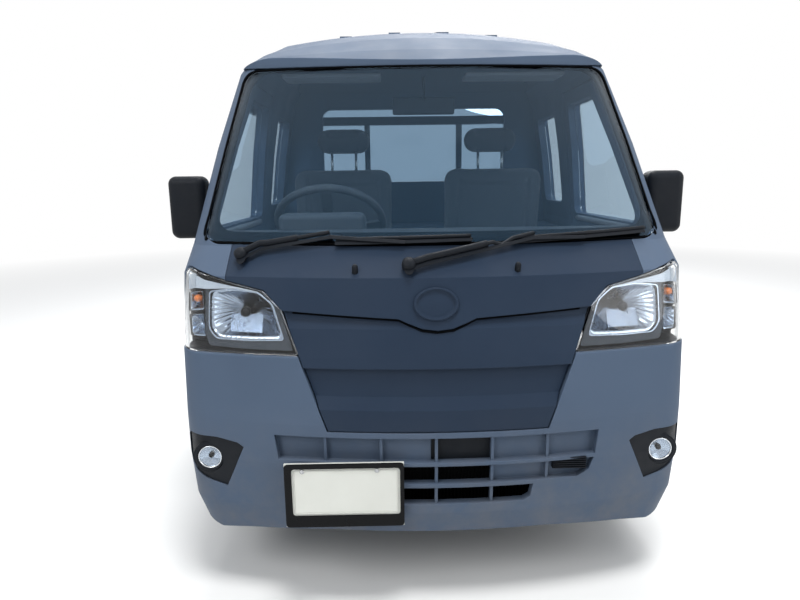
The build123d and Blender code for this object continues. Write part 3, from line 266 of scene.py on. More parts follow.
def rubber(name, colour, dusty=0.35):
    """Dull rubber with dust in patches."""
    surface = Surface(name, colour, 0.8)
    surface.set("Specular IOR Level", 0.25)
    surface.round_edges(0.002)
    surface.patches((16, 6, 0.7), 0.35, 0.8, dusty, ROAD_DUST)
    surface.rough(surface.noise(40, 3), 0.68, 0.9)
    surface.bump(surface.noise(420, 3, 0.6), 0.0003)
    return surface.material


def cloth(name, colour, second):
    """Woven seat cloth: two crossing thread directions, fine speckle and soft shading between them."""
    surface = Surface(name, colour, 0.85)
    across, along = (surface.waves(axis, 420, Distortion=0.4, Detail=2.0) for axis in ("X", "Z"))
    weave = surface.times(across, along)
    surface.tint(surface.span(weave, 0.1, 0.8), second)
    surface.tint(surface.span(surface.noise(260, 3, 0.7), 0.45, 0.7, 0, 0.5), shade(colour, 0.6))
    surface.set("Sheen Weight", 0.25)
    surface.bump(weave, 0.0006)
    return surface.material


def clear(name, colour, index, sheen=(1, 1, 1, 1)):
    """Glass or clear plastic. Shadow rays pass, so that what is behind it is lit."""
    surface = Surface(name, colour, 0.0)
    surface.set("Specular Tint", sheen)
    surface.set("Transmission Weight", 1.0)
    surface.set("IOR", index)
    shadow = surface.node("ShaderNodeLightPath").outputs["Is Shadow Ray"]
    surface.show_instead(shadow, surface.node("ShaderNodeBsdfTransparent", {"Color": colour}))
    return surface.material


def lit_lens(name, colour, roughness):
    """Coloured lamp plastic with moulded prisms behind a smooth face."""
    surface = Surface(name, colour, roughness)
    surface.set("Transmission Weight", 0.35)
    surface.set("Coat Weight", 0.6)
    surface.set("Coat Roughness", 0.05)
    ribs = surface.waves("X", 90.0)
    surface.tint(surface.span(ribs, 0.2, 0.8, 0.0, 0.6), shade(colour, 0.45))
    surface.bump(ribs, 0.001)
    return surface.material


MATERIALS = {}


def add(kind, name, *values, **settings):
    MATERIALS[name] = kind(name, *values, **settings)


add(paint, "body_paint", linear(71, 85, 104), 0.6, dusty=0.3)
add(paint, "charcoal_paint", linear(30, 43, 60), 0.6, grain=0.00025, wear=0.18, dusty=0.1)
add(paint, "plate_paint", linear(206, 207, 200), 0.42, grain=0.00005, wear=0.1, dusty=0.1)
add(plastic, "black_trim", linear(17, 21, 27), 0.5, dusty=0.015, shine=0.14)
add(plastic, "gloss_black", linear(8, 9, 11), 0.2, grain=0.00002, dusty=0.0, shine=0.12)
# Near-black: the windshield's ceramic band and moulding, and also painted shade under the hood's edge and
# behind the grille
add(plastic, "frit_black", linear(5, 6, 8), 0.4, grain=0.00001, dusty=0.0, shine=0.02)
add(plastic, "frame_grey", linear(44, 50, 58), 0.35, grain=0.00005, dusty=0.0, shine=0.2)
add(plastic, "cabin_plastic", linear(58, 60, 64), 0.62, scale=520, dusty=0.1)
add(plastic, "pale_plastic", linear(132, 134, 138), 0.6, scale=520, dusty=0.08)
add(clear, "clear_glass", (0.60, 0.70, 0.78, 1), 1.42, sheen=(0.30, 0.62, 1.0, 1))
add(clear, "rear_glass", (0.26, 0.35, 0.44, 1), 1.3)
add(clear, "lamp_glass", (0.97, 0.98, 0.98, 1), 1.3)
add(metal, "reflector", linear(158, 170, 186), 0.14, 1.0, dirt=0.02, grain=0.00003, scale=30)
add(metal, "brow_silver", linear(150, 160, 172), 0.4, 0.5, dirt=0.03, grain=0.0001, scale=60)
add(metal, "lamp_inside", linear(196, 200, 204), 0.32, 0.55, dirt=0.06, grain=0.0001, scale=60)
add(metal, "chrome", linear(222, 226, 230), 0.08, 1.0, dirt=0.03, grain=0.00005, scale=40)
add(metal, "rim_paint", linear(168, 172, 176), 0.38, 0.45, dirt=0.5, dirt_colour=linear(70, 58, 48))
add(metal, "cast_metal", linear(128, 128, 126), 0.5, 0.75, dirt=0.6, grain=0.0009, scale=90)
add(metal, "bright_steel", linear(176, 178, 180), 0.3, 0.95, dirt=0.3)
add(metal, "exhaust_steel", linear(120, 112, 104), 0.45, 0.85, dirt=0.6, dirt_colour=linear(98, 60, 36))
add(underseal, "chassis_black", linear(26, 26, 27))
add(rubber, "tyre_rubber", linear(32, 32, 33))
add(rubber, "flap_rubber", linear(26, 26, 27), 0.5)
add(rubber, "seal_rubber", linear(18, 18, 19), 0.08)
add(cloth, "seat_fabric", linear(66, 69, 76), linear(98, 101, 108))
add(lit_lens, "tail_lens", linear(190, 18, 16), 0.12)
add(lit_lens, "amber_lens", linear(232, 122, 20), 0.12)
add(lit_lens, "white_lens", linear(226, 228, 228), 0.1)

# The slots of the record, and the slot that a material with no slot of its own belongs to
SLOT_OF = {
    "gloss_black": "black_trim", "frit_black": "black_trim", "frame_grey": "black_trim",
    "seal_rubber": "black_trim", "bright_steel": "black_trim", "reflector": "lamp_inside",
    "brow_silver": "lamp_inside", "chrome": "lamp_inside", "pale_plastic": "cabin_plastic",
    "amber_lens": "tail_lens", "white_lens": "tail_lens",
}

# Which CAD nodes are made of a material: whole names, or what they start with
NODE_MATERIALS = {
    "body_paint": ["cab_side", "cab_roof", "cab_back", "front_bumper", "bed_floor", "tailgate",
                   "guard_frame", "door", "gate"],
    "charcoal_paint": ["front_panel"],
    "black_trim": ["firewall", "lamp_housings", "wipers", "mirror"],
    "clear_glass": ["windshield", "cab_windows", "door_glass"],
    "lamp_glass": ["lamp_lenses"],
    "cabin_plastic": ["cab_floor", "dashboard", "steering_column", "steering_wheel"],
    "seat_fabric": ["seat_cushions", "seat_backs"],
    "chassis_black": ["suspension", "rear_axle", "frame_rails", "cross_members", "fuel_tank"],
    "cast_metal": ["engine_block", "knuckle"],
    "tail_lens": ["tail_lamps"],
    "flap_rubber": ["mudflaps"],
    "plate_paint": ["licence_plate"],
    "tyre_rubber": ["spare_wheel", "tyre"],
    "rim_paint": ["rim"],
    "exhaust_steel": ["exhaust"],
}


def dress_nodes():
    """Gives every CAD node its material."""
    material_of = {node: material for material, nodes in NODE_MATERIALS.items() for node in nodes}
    for name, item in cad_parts.items():
        kinds = (name, name.rsplit("_", 1)[0], name.split("_")[0])
        item.data.materials.clear()
        material = next(material_of[kind] for kind in kinds if kind in material_of)
        item.data.materials.append(MATERIALS[material])


def split_material(node, test, material):
    """Gives the faces of a CAD node for which test is true a second material."""
    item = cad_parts[node]
    item.data.materials.append(MATERIALS[material])
    index = len(item.data.materials) - 1
    for polygon in item.data.polygons:
        if test(polygon.center):
            polygon.material_index = index


def split_nodes():
    """The rear window's tinted glass and the spare wheel's rim."""
    split_material("cab_windows", lambda spot: spot.y > REAR_GLASS_Y, "rear_glass")
    split_material("spare_wheel", lambda spot: math.hypot(spot.x, spot.y - SPARE_Y) < SPARE_RIM_R,
                   "rim_paint")


# Stage
WHITE = (1, 1, 1, 1)
FLOOR_HALF = 14.0
FLOOR_COLOUR = (0.80, 0.80, 0.79, 1)
FLOOR_FADE = (3.0, 9.0)
SKY_COLOUR = (0.86, 0.92, 1.0, 1)
SKY_STRENGTH = 0.42


def make_stage():
    """A pale floor that fades to plain white for the camera, far from the truck."""
    mesh = bpy.data.meshes.new("floor")
    corners = [(x * FLOOR_HALF, y * FLOOR_HALF, 0) for x, y in ((-1, -1), (1, -1), (1, 1), (-1, 1))]
    mesh.from_pydata(corners, [], [(0, 1, 2, 3)])
    floor = bpy.data.objects.new("floor", mesh)
    bpy.context.scene.collection.objects.link(floor)
    surface = Surface("floor_paint", FLOOR_COLOUR, 0.9)
    camera_ray = surface.node("ShaderNodeLightPath").outputs["Is Camera Ray"]
    white = surface.node("ShaderNodeEmission", {"Color": WHITE, "Strength": 1.0})
    away = surface.node("ShaderNodeVectorMath", {0: surface.place()}, operation="LENGTH").outputs["Value"]
    surface.show_instead(surface.times(surface.span(away, *FLOOR_FADE), camera_ray), white)
    mesh.materials.append(surface.material)


def make_world():
    """Pale blue light all round, and plain white where the camera, mirrors or glass see past the floor."""
    world = bpy.data.worlds.new("studio")
    bpy.context.scene.world = world
    world.use_nodes = True
    tree = world.node_tree
    light = tree.nodes["Background"]
    light.inputs["Color"].default_value = SKY_COLOUR
    light.inputs["Strength"].default_value = SKY_STRENGTH
    white = add_node(tree, "ShaderNodeBackground", {"Color": WHITE, "Strength": 1.0})
    rays = add_node(tree, "ShaderNodeLightPath").outputs
    seen = rays["Is Camera Ray"]
    for kind in ("Is Transmission Ray", "Is Glossy Ray"):
        seen = add_node(tree, "ShaderNodeMath", {0: seen, 1: rays[kind]}, operation="MAXIMUM").outputs[0]
    mix = add_node(tree, "ShaderNodeMixShader", {0: seen, 1: light.outputs[0], 2: white.outputs[0]})
    tree.links.new(mix.outputs[0], tree.nodes["World Output"].inputs["Surface"])


LAMPS = [
    # name, place, aim, size, watts, whether mirrors and glass show it
    ("key", (-3.2, -5.2, 4.6), (0, -0.6, 0.9), 3.0, 150, True),
    ("fill", (4.2, -4.4, 3.0), (0, -0.5, 0.8), 3.4, 85, True),
    ("front_top", (0.4, -3.0, 6.2), (0, -1.2, 0.9), 1.8, 260, False),
    ("top", (0.3, 1.2, 5.6), (0, 0.4, 0.5), 4.2, 300, True),
    ("back", (1.5, 5.4, 3.6), (0, 0.8, 0.9), 3.4, 150, True),
]


def make_lamps():
    for name, place, aim, size, watts, shown in LAMPS:
        data = bpy.data.lights.new(name, "AREA")
        data.shape = "DISK"
        data.size = size
        data.energy = watts
        lamp = bpy.data.objects.new(name, data)
        lamp.location = place
        lamp.rotation_euler = (Vector(aim) - Vector(place)).to_track_quat("-Z", "Y").to_euler()
        lamp.visible_glossy = lamp.visible_transmission = shown
        bpy.context.scene.collection.objects.link(lamp)


# Building blocks
BEVEL_STEPS = 3
BEVEL_ANGLE = 35
MERGE = 1e-6


def shade_smooth(mesh):
    for polygon in mesh.polygons:
        polygon.use_smooth = True


def edit_mesh(mesh, change):
    shape = bmesh.new()
    shape.from_mesh(mesh)
    change(shape)
    shape.to_mesh(mesh)
    shape.free()


def piece(name, points, faces, material, body="chassis", smooth=False, bevel=0.0, slot=None):
    """A mesh of one material that rides on a body, with its sharp edges rounded where a bevel is given."""
    mesh = bpy.data.meshes.new(name)
    mesh.from_pydata([tuple(point) for point in points], [], faces)
    mesh.materials.append(MATERIALS[material])
    item = bpy.data.objects.new(name, mesh)
    bpy.context.scene.collection.objects.link(item)
    edit_mesh(mesh, lambda shape: bmesh.ops.recalc_face_normals(shape, faces=shape.faces))
    if smooth or bevel:
        shade_smooth(mesh)
    if bevel:
        rounding = item.modifiers.new("bevel", "BEVEL")
        rounding.width = bevel
        rounding.segments = BEVEL_STEPS
        rounding.limit_method = "ANGLE"
        rounding.angle_limit = math.radians(BEVEL_ANGLE)
        rounding.harden_normals = True
    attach(item, body)
    slot = slot or SLOT_OF.get(material, material)
    return item


def thicken(item, thickness, offset=-1.0):
    thick = item.modifiers.new("thickness", "SOLIDIFY")
    thick.thickness = thickness
    thick.offset = offset


def join(items, name):
    """One piece from several meshes that ride on the same body."""
    bpy.ops.object.select_all(action="DESELECT")
    for item in items:
        item.select_set(True)
    bpy.context.view_layer.objects.active = items[0]
    bpy.ops.object.join()
    items[0].name = name


def grid(rows, columns, round_rows=False, round_columns=False, capped=False):
    """Faces over rows of points. Either way may close on itself, and the end rows may be filled."""
    faces = []
    for row in range(rows if round_rows else rows - 1):
        a = row * columns
        b = (row + 1) % rows * columns
        for k in range(columns if round_columns else columns - 1):
            n = (k + 1) % columns
            faces.append((a + k, a + n, b + n, b + k))
    if capped:
        faces += [tuple(range(columns)), tuple(range((rows - 1) * columns, rows * columns))]
    return faces


def angles(count):
    return [2 * math.pi * k / count for k in range(count)]


def upright(axis):
    """A direction well away from an axis."""
    return Vector((0, 0, 1) if abs(axis.z) < 0.9 else (1, 0, 0))


def cast(node, origin, direction):
    """Where a ray meets a CAD node, and the surface normal there."""
    hit, place, normal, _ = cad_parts[node].ray_cast(Vector(origin), Vector(direction))
    return (place, normal) if hit else (None, None)


def from_front(node, x, z, out=0.0):
    """A point on a CAD node seen from the front, moved out along its surface normal."""
    place, normal = cast(node, (x, AHEAD_Y, z), (0, 1, 0))
    return place + normal * out if place else None


def from_side(node, side, y, z):
    """A point on a CAD node seen from one side."""
    return cast(node, (side * BESIDE_X, y, z), (-side, 0, 0))[0]


def smooth_outline(points, corner, steps):
    """A closed outline with rounded corners, as more points."""
    result = []
    for index, point in enumerate(points):
        here = Vector(point)
        before = Vector(points[index - 1])
        after = Vector(points[(index + 1) % len(points)])
        start = here + (before - here).normalized() * corner
        end = here + (after - here).normalized() * corner
        for step in range(steps + 1):
            t = step / steps
            result.append(start * (1 - t) ** 2 + here * 2 * t * (1 - t) + end * t ** 2)
    return result


def along(points, pitch):
    """More points along an open line."""
    result = []
    for one, two in zip(points, points[1:]):
        one, two = Vector(one), Vector(two)
        steps = max(1, round((two - one).length / pitch))
        result += [one.lerp(two, step / steps) for step in range(steps)]
    return result + [Vector(points[-1])]


def around(points, pitch):
    """More points along a closed outline."""
    return along([*points, points[0]], pitch)[:-1]


def on_side(side, points):
    """Points of the left side's outline, on one side of the truck."""
    return [(side * x, z) for x, z in points]


def tube(name, path, radius, material, body="chassis", closed=False, sides=10, slot=None):
    """A round bar along points."""
    points = [Vector(point) for point in path]
    count = len(points)
    rings = []
    lift = None
    for index, point in enumerate(points):
        before = points[index - 1] if index or closed else point
        after = points[(index + 1) % count] if index < count - 1 or closed else point
        way = (after - before).normalized()
        if lift is None:
            lift = way.cross(upright(way)).cross(way).normalized()
        across = way.cross(lift).normalized()
        lift = across.cross(way).normalized()
        rings += [point + radius * (across * math.cos(a) + lift * math.sin(a)) for a in angles(sides)]
    faces = grid(count, sides, round_rows=closed, round_columns=True, capped=not closed)
    return piece(name, rings, faces, material, body, smooth=True, slot=slot)


def slab(name, one, other, material, body="chassis", bevel=0.003, slot=None):
    """A block between two opposite corners, with rounded edges."""
    xs, ys, zs = (sorted(pair) for pair in zip(one, other))
    verts = [(x, y, z) for z in zs for y in ys for x in xs]
    faces = [(0, 1, 3, 2), (4, 5, 7, 6), (0, 1, 5, 4), (2, 3, 7, 6), (0, 2, 6, 4), (1, 3, 7, 5)]
    return piece(name, verts, faces, material, body, bevel=bevel, slot=slot)


def lathe(name, profile, origin, axis, material, body="chassis", steps=40, slot=None):
    """A turned piece: radii and places along an axis through origin."""
    axis = Vector(axis).normalized()
    side = axis.cross(upright(axis)).normalized()
    other = axis.cross(side)
    verts = []
    for angle in angles(steps):
        away = side * math.cos(angle) + other * math.sin(angle)
        verts += [Vector(origin) + away * radius + axis * reach for radius, reach in profile]
    faces = grid(steps, len(profile), round_rows=True)
    item = piece(name, verts, faces, material, body, smooth=True, slot=slot)
    edit_mesh(item.data, lambda shape: bmesh.ops.remove_doubles(shape, verts=shape.verts, dist=MERGE))
    return item


# Windshield: its outline as (x, z) seen from the front, and margins at the left, right, bottom and top
WINDSHIELD = [(-0.692, 1.040), (0.692, 1.040), (0.615, 1.5914), (-0.615, 1.5914)]
BAND_MARGINS = (0.038, 0.038, 0.034, 0.012)
BAND_SCALE = 0.998
BAND_CORNERS = (0.05, 0.075)
BAND_OUT = 0.0006
BAND_THICKNESS = 0.0012
MOULDING_MARGINS = (0.009, 0.009, 0.008, 0.008)
MOULDING_GROWTH = 0.001
MOULDING_CORNERS = (0.05, 0.047)
MOULDING_OUT = 0.0024
CORNER_STEPS = 8
RUN_STEPS = 12


def drawn_in(points, left, right, low, high):
    """A four-cornered outline drawn in by a margin on each side."""
    (x0, z0), (x1, z1), (x2, z2), (x3, z3) = points
    return [(x0 + left, z0 + low), (x1 - right, z1 + low), (x2 - right, z2 - high), (x3 + left, z3 - high)]


def matched(points, margins, corners):
    """Two rounded outlines with the same number of points: one full size and one drawn in."""
    lines = [smooth_outline(points, corners[0], CORNER_STEPS),
             smooth_outline(drawn_in(points, *margins), corners[1], CORNER_STEPS)]
    result = ([], [])
    count = len(lines[0])
    for index in range(count):
        steps = RUN_STEPS if index % (CORNER_STEPS + 1) == CORNER_STEPS else 1
        for step in range(steps):
            for line, target in zip(lines, result):
                target.append(tuple(line[index].lerp(line[(index + 1) % count], step / steps)))
    return result


def ring(name, outer, inner, out, from_inside=False):
    """A thin black band on the windshield between two outlines of (x, z) points, as many on each."""
    start, way = (WITHIN_Y, -1) if from_inside else (AHEAD_Y, 1)
    rows = []
    for x, z in outer + inner:
        place, normal = cast("windshield", (x, start, z), (0, way, 0))
        rows.append(place + normal * out if place else None)
    kept = [row for row in rows if row]
    for index, (x, z) in enumerate(outer + inner):
        if rows[index] is None:
            near = min(kept, key=lambda spot: (spot.x - x) ** 2 + (spot.z - z) ** 2)
            rows[index] = Vector((x, near.y, z))
    item = piece(name, rows, grid(2, len(outer), round_columns=True), "frit_black", smooth=True)
    thicken(item, BAND_THICKNESS, 0.0 if from_inside else 1.0)


def make_glass_trim():
    """The dark ceramic band inside the windshield's edge and the rubber moulding around it."""
    outer, inner = matched(WINDSHIELD, BAND_MARGINS, BAND_CORNERS)
    ring("glass_band", [(x * BAND_SCALE, z) for x, z in outer], inner, BAND_OUT, from_inside=True)
    grown = drawn_in(WINDSHIELD, *[-MOULDING_GROWTH] * 4)
    ring("glass_moulding", *matched(grown, MOULDING_MARGINS, MOULDING_CORNERS), MOULDING_OUT)


# Front panel
HOOD_EDGE = [(0.395, 0.872), (0.250, 0.8633), (0.105, 0.854), (0.078, 0.842), (0.042, 0.828), (0.0, 0.823)]
# A black strip just below the hood's edge paints the shadow under it: how far below, its radius and how far
# out
HOOD_SHADOW_DROP = 0.006
HOOD_SHADOW_R = 0.0034
HOOD_SHADOW_OUT = 0.0012
BADGE = (-0.004, 0.893)
BADGE_SIZE = (0.061, 0.044)
BADGE_STEPS = 64
# Share of the oval's size and height above the panel
BADGE_PROFILE = [(1.0, 0.0), (0.995, 0.0060), (0.94, 0.0090), (0.87, 0.0085), (0.83, 0.0020), (0.72, 0.0018),
                 (0.4, 0.0032), (0.0, 0.0040)]
NOZZLE = (0.2205, 0.977)
NOZZLE_AXIS = (0, -0.45, 1)
NOZZLE_PROFILE = [(0.0085, -0.004), (0.0085, 0.010), (0.0078, 0.018), (0.0050, 0.022), (0.0, 0.0235)]


def make_badge():
    """A plain oval with a raised rim in the panel's finish, and black strips that paint the shadow under the
    hood's edge.
    """
    points = []
    for angle in angles(BADGE_STEPS):
        for share, out in BADGE_PROFILE:
            x = BADGE[0] + BADGE_SIZE[0] * share * math.cos(angle)
            z = BADGE[1] + BADGE_SIZE[1] * share * math.sin(angle)
            points.append(from_front("front_panel", x, z, out))
    faces = grid(BADGE_STEPS, len(BADGE_PROFILE), round_rows=True)
    piece("oval_badge", points, faces, "charcoal_paint", smooth=True)
    for name, side in SIDES.items():
        shadow_line = [from_front("front_panel", x, z - HOOD_SHADOW_DROP, HOOD_SHADOW_OUT)
               for x, z in on_side(side, HOOD_EDGE)]
        tube(f"hood_shadow_strip_{name}", [spot for spot in shadow_line if spot], HOOD_SHADOW_R, "frit_black", sides=8)


def make_nozzles():
    """A small peg with a domed head on each side of the cowl."""
    for name, side in SIDES.items():
        place = from_front("front_panel", side * NOZZLE[0], NOZZLE[1])
        lathe(f"washer_nozzle_{name}", NOZZLE_PROFILE, place, NOZZLE_AXIS, "black_trim", steps=20)


# Licence plate: the holder's widths at the left, right, bottom and top
PLATE_RIM = (0.020, 0.011, 0.034, 0.014)
PLATE_RIM_DEPTH = 0.0045
PLATE_BEAD_IN = 0.006
PLATE_BEAD_R = 0.0014
PLATE_BEAD_AHEAD = 0.0012
PLATE_SCREWS = {"left": (-0.374, 0.445), "right": (-0.170, 0.445)}
PLATE_SCREW = [(0.0062, 0.0), (0.0062, 0.0022), (0.0048, 0.0036), (0.0018, 0.0040), (0.0, 0.0030)]


def make_plate():
    """A blank plate's raised edge, its holder's frame and two screws."""
    low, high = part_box("licence_plate")
    corners = [(low.x, low.z), (high.x, low.z), (high.x, high.z), (low.x, high.z)]
    opening = drawn_in(corners, *PLATE_RIM)
    outer = smooth_outline(corners, 0.012, 5)
    inner = smooth_outline(opening, 0.010, 5)
    rows = ((outer, 0.0), (outer, -PLATE_RIM_DEPTH), (inner, -PLATE_RIM_DEPTH), (inner, 0.0))
    verts = [(spot.x, low.y + ahead, spot.y) for line, ahead in rows for spot in line]
    piece("plate_frame", verts, grid(4, len(outer), round_columns=True), "gloss_black", bevel=0.0012)
    bead = smooth_outline(drawn_in(opening, *[PLATE_BEAD_IN] * 4), 0.010, 6)
    path = [(spot.x, low.y - PLATE_BEAD_AHEAD, spot.y) for spot in bead]
    tube("plate_bead", path, PLATE_BEAD_R, "plate_paint", closed=True, sides=6)
    for name, (x, z) in PLATE_SCREWS.items():
        lathe(f"plate_screw_{name}", PLATE_SCREW, (x, low.y, z), (0, -1, 0), "bright_steel", steps=16,
              slot="plate_paint")


# Headlamps: outlines as (x, z) of the left lamp seen from the front
BULB = (0.536, 0.858)
BULB_DEPTH = 0.088
SIGNAL_BULB = (0.679, 0.892)
SIGNAL_BULB_DEPTH = 0.056
LAMP_RIM = 0.019
FRAME_DEPTH = LAMP_RIM - 0.002
LIP_DEPTH = LAMP_RIM - 0.0045
BROW_DEPTH = LAMP_RIM - 0.006
MAIN_CHAMBER = [(0.637, 0.914), (0.568, 0.923), (0.494, 0.916), (0.452, 0.884), (0.422, 0.792),
                (0.525, 0.788), (0.616, 0.789), (0.638, 0.814)]
MAIN_FRAME = [(0.652, 0.945), (0.566, 0.931), (0.486, 0.918), (0.436, 0.882), (0.394, 0.762), (0.525, 0.762),
              (0.640, 0.766), (0.652, 0.800)]
SIGNAL_CHAMBER = [(0.701, 0.908), (0.661, 0.916), (0.656, 0.863), (0.702, 0.857)]
LOWER_CHAMBER = [(0.700, 0.846), (0.657, 0.852), (0.652, 0.790), (0.695, 0.790)]
CHAMBERS = [
    # name, outline, middle, depth, corner, height of the ribs
    ("lamp", MAIN_CHAMBER, BULB, 0.066, 0.012, 0.0042),
    ("signal", SIGNAL_CHAMBER, SIGNAL_BULB, 0.034, 0.008, 0.0012),
    ("lower", LOWER_CHAMBER, (0.676, 0.822), 0.030, 0.006, 0.0030),
]
CHAMBER_ROWS = 10
CHAMBER_PITCH = 0.004
LIP_MIDDLE = (0.53, 0.852)
LIP_GROWTH = (1.035, 1.05)
SMALL_FRAME_GROWTH = (1.16, 1.10)
BROW_TOP = [(0.706, 0.966), (0.680, 0.958), (0.655, 0.947), (0.610, 0.939), (0.566, 0.932), (0.530, 0.926),
            (0.495, 0.920)]
BROW_LOW = [(0.706, 0.917), (0.680, 0.923), (0.655, 0.922), (0.610, 0.924), (0.566, 0.926), (0.530, 0.922),
            (0.495, 0.918)]
BULB_PARTS = [
    # name, material, steps, radii and places ahead of the bulb's seat
    ("lamp_bulb", "lamp_glass", 24, [(0.0, -0.048), (0.0075, -0.047), (0.0095, -0.043), (0.0095, -0.034),
                                     (0.0085, -0.020), (0.0085, 0.0)]),
    ("bulb_cap", "black_trim", 28, [(0.0, -0.053), (0.0120, -0.051), (0.0140, -0.047), (0.0140, -0.040),
                                    (0.0120, -0.038)]),
    ("bulb_socket", "gloss_black", 28, [(0.0, -0.022), (0.0150, -0.022), (0.0165, -0.018), (0.0165, 0.0)]),
]
SIGNAL_PROFILE = [(0.0, -0.040), (0.007, -0.038), (0.011, -0.031), (0.011, -0.020), (0.007, -0.006),
                  (0.007, 0.0)]
FLUTES = 34
FLUTES_X = 0.486
FLUTES_WIDTH = 0.092
FLUTES_Z = 0.820
FLUTE_DEPTH = 0.0040
# Height and how far behind the lens
FLUTE_ROWS = ((0.804, 0.026), (0.826, 0.036), (0.852, 0.052))
# Past the lens's edge: steps back towards it, and then the bumper at a share of x and at a z
LENS_STEPS = 8
LENS_STEP = 0.004
LENS_STANDS = (0.9, 0.74)


def lens_y(x, z):
    """Where the headlamp lens lies at a place seen from the front."""
    for step in range(LENS_STEPS):
        spot = from_front("lamp_lenses", x - math.copysign(LENS_STEP * step, x), z)
        if spot:
            return spot.y
    return from_front("front_bumper", x * LENS_STANDS[0], LENS_STANDS[1]).y


def grown_about(points, middle, growth):
    """An outline made larger about a middle, by a share across and a share upwards."""
    return [((x - middle[0]) * growth[0] + middle[0], (z - middle[1]) * growth[1] + middle[1])
            for x, z in points]


def chamber(name, outline, centre, side, depth, corner, ridge):
    """A mirrored, ribbed bowl with a free outline. Its rim follows the lens and its middle lies deeper."""
    loop = around(smooth_outline(on_side(side, outline), corner, 4), CHAMBER_PITCH)
    x0, z0 = side * centre[0], centre[1]
    deep = lens_y(x0, z0) + LAMP_RIM + depth
    verts = []
    for row in range(CHAMBER_ROWS):
        share = 1 - row / CHAMBER_ROWS
        for index, spot in enumerate(loop):
            rim = lens_y(spot.x, spot.y) + LAMP_RIM
            wave = ridge * ((index // 2) % 2) * 4 * share * (1 - share)
            y = rim * share ** 2 + deep * (1 - share ** 2) - wave
            verts.append((x0 + (spot.x - x0) * share, y, z0 + (spot.y - z0) * share))
    bottom = tuple(range(len(verts) - len(loop), len(verts)))
    faces = grid(CHAMBER_ROWS, len(loop), round_columns=True) + [bottom]
    thicken(piece(name, verts, faces, "reflector", smooth=True), 0.001)


def lens_sheet(name, outer, inner, depth, material, closed=True):
    """A thin sheet between two lines of (x, z) points that follows the lens at a depth behind it."""
    verts = [(x, lens_y(x, z) + depth, z) for line in (outer, inner) for x, z in line]
    thicken(piece(name, verts, grid(2, len(outer), round_columns=closed), material), 0.0015)


def make_flutes(name, side):
    """A fluted panel below the bulb."""
    verts = []
    for column in range(FLUTES + 1):
        x = side * (FLUTES_X + FLUTES_WIDTH * column / FLUTES)
        wave = FLUTE_DEPTH * (column % 2)
        verts += [(x, lens_y(x, FLUTES_Z) + back + wave, z) for z, back in FLUTE_ROWS]
    thicken(piece(f"lamp_flutes_{name}", verts, grid(FLUTES + 1, len(FLUTE_ROWS)), "reflector"), 0.001)


def make_headlamps():
    """What shows through the lenses: ribbed bowls in dark frames, a silver brow, bulbs and a fluted panel."""
    for name, side in SIDES.items():
        for part, outline, middle, depth, corner, ridge in CHAMBERS:
            chamber(f"{part}_bowl_{name}", outline, middle, side, depth, corner, ridge)
        frame_line = smooth_outline(on_side(side, MAIN_FRAME), 0.010, 4)
        rim_line = smooth_outline(on_side(side, MAIN_CHAMBER), 0.012, 4)
        lip_line = smooth_outline(on_side(side, grown_about(MAIN_CHAMBER, LIP_MIDDLE, LIP_GROWTH)), 0.012, 4)
        lens_sheet(f"lamp_frame_{name}", frame_line, rim_line, FRAME_DEPTH, "frame_grey")
        lens_sheet(f"lamp_lip_{name}", lip_line, rim_line, LIP_DEPTH, "reflector")
        for part, outline, *_ in CHAMBERS[1:]:
            middle = [sum(values) / len(outline) for values in zip(*outline)]
            wide = smooth_outline(on_side(side, grown_about(outline, middle, SMALL_FRAME_GROWTH)), 0.008, 4)
            small = smooth_outline(on_side(side, outline), 0.006, 4)
            lens_sheet(f"{part}_frame_{name}", wide, small, FRAME_DEPTH, "gloss_black")
        lens_sheet(f"lamp_brow_{name}", on_side(side, BROW_TOP), on_side(side, BROW_LOW), BROW_DEPTH,
                   "brow_silver", closed=False)
        x, z = side * BULB[0], BULB[1]
        for part, material, steps, profile in BULB_PARTS:
            spot = (x, lens_y(x, z) + BULB_DEPTH, z)
            lathe(f"{part}_{name}", profile, spot, (0, 1, 0), material, steps=steps)
        make_flutes(name, side)
        x, z = side * SIGNAL_BULB[0], SIGNAL_BULB[1]
        spot = (x, lens_y(x, z) + SIGNAL_BULB_DEPTH, z)
        lathe(f"signal_bulb_{name}", SIGNAL_PROFILE, spot, (0, 1, 0), "amber_lens", steps=20,
              slot="lamp_inside")


# Fog lamps: the middle of the left one
FOG = (0.656, 0.116 + FRONT_Y, 0.439)
FOG_PARTS = [
    # name, material, steps, radii and places ahead of the middle
    ("fog_bowl", "reflector", 40, [(0.0, 0.0), (0.010, -0.001), (0.020, -0.004), (0.028, -0.008),
                                   (0.0315, -0.0095)]),
    ("fog_rim", "black_trim", 48, [(0.0335, -0.0130), (0.0345, -0.0160), (0.0390, -0.0172), (0.0425, -0.0165),
                                   (0.0425, -0.0130)]),
    ("fog_ring", "chrome", 48, [(0.0308, -0.0130), (0.0312, -0.0150), (0.0326, -0.0158), (0.0338, -0.0150),
                                (0.0338, -0.0130)]),
    ("fog_bulb", "gloss_black", 20, [(0.0, -0.009), (0.005, -0.008), (0.0075, -0.004), (0.0075, 0.0)]),
]


def make_fog_lamps():
    """Bowl, rims and bulb of each fog lamp."""
    for name, side in SIDES.items():
        for part, material, steps, profile in FOG_PARTS:
            lathe(f"{part}_{name}", profile, (side * FOG[0], *FOG[1:]), (0, 1, 0), material, steps=steps)


WIPERS = [
    # name, pivot, kink, end, blade from, blade to: x and z seen from the front
    ("right", (-0.545, 1.008), (-0.492, 1.033), (-0.292, 1.066), (-0.274, 1.049), (0.098, 1.056)),
    ("left", (-0.075, 0.986), (-0.025, 1.000), (0.276, 1.057), (0.221, 1.047), (0.627, 1.063)),
]
ARM_SHARE = 0.55
WIPER_PITCH = 0.03
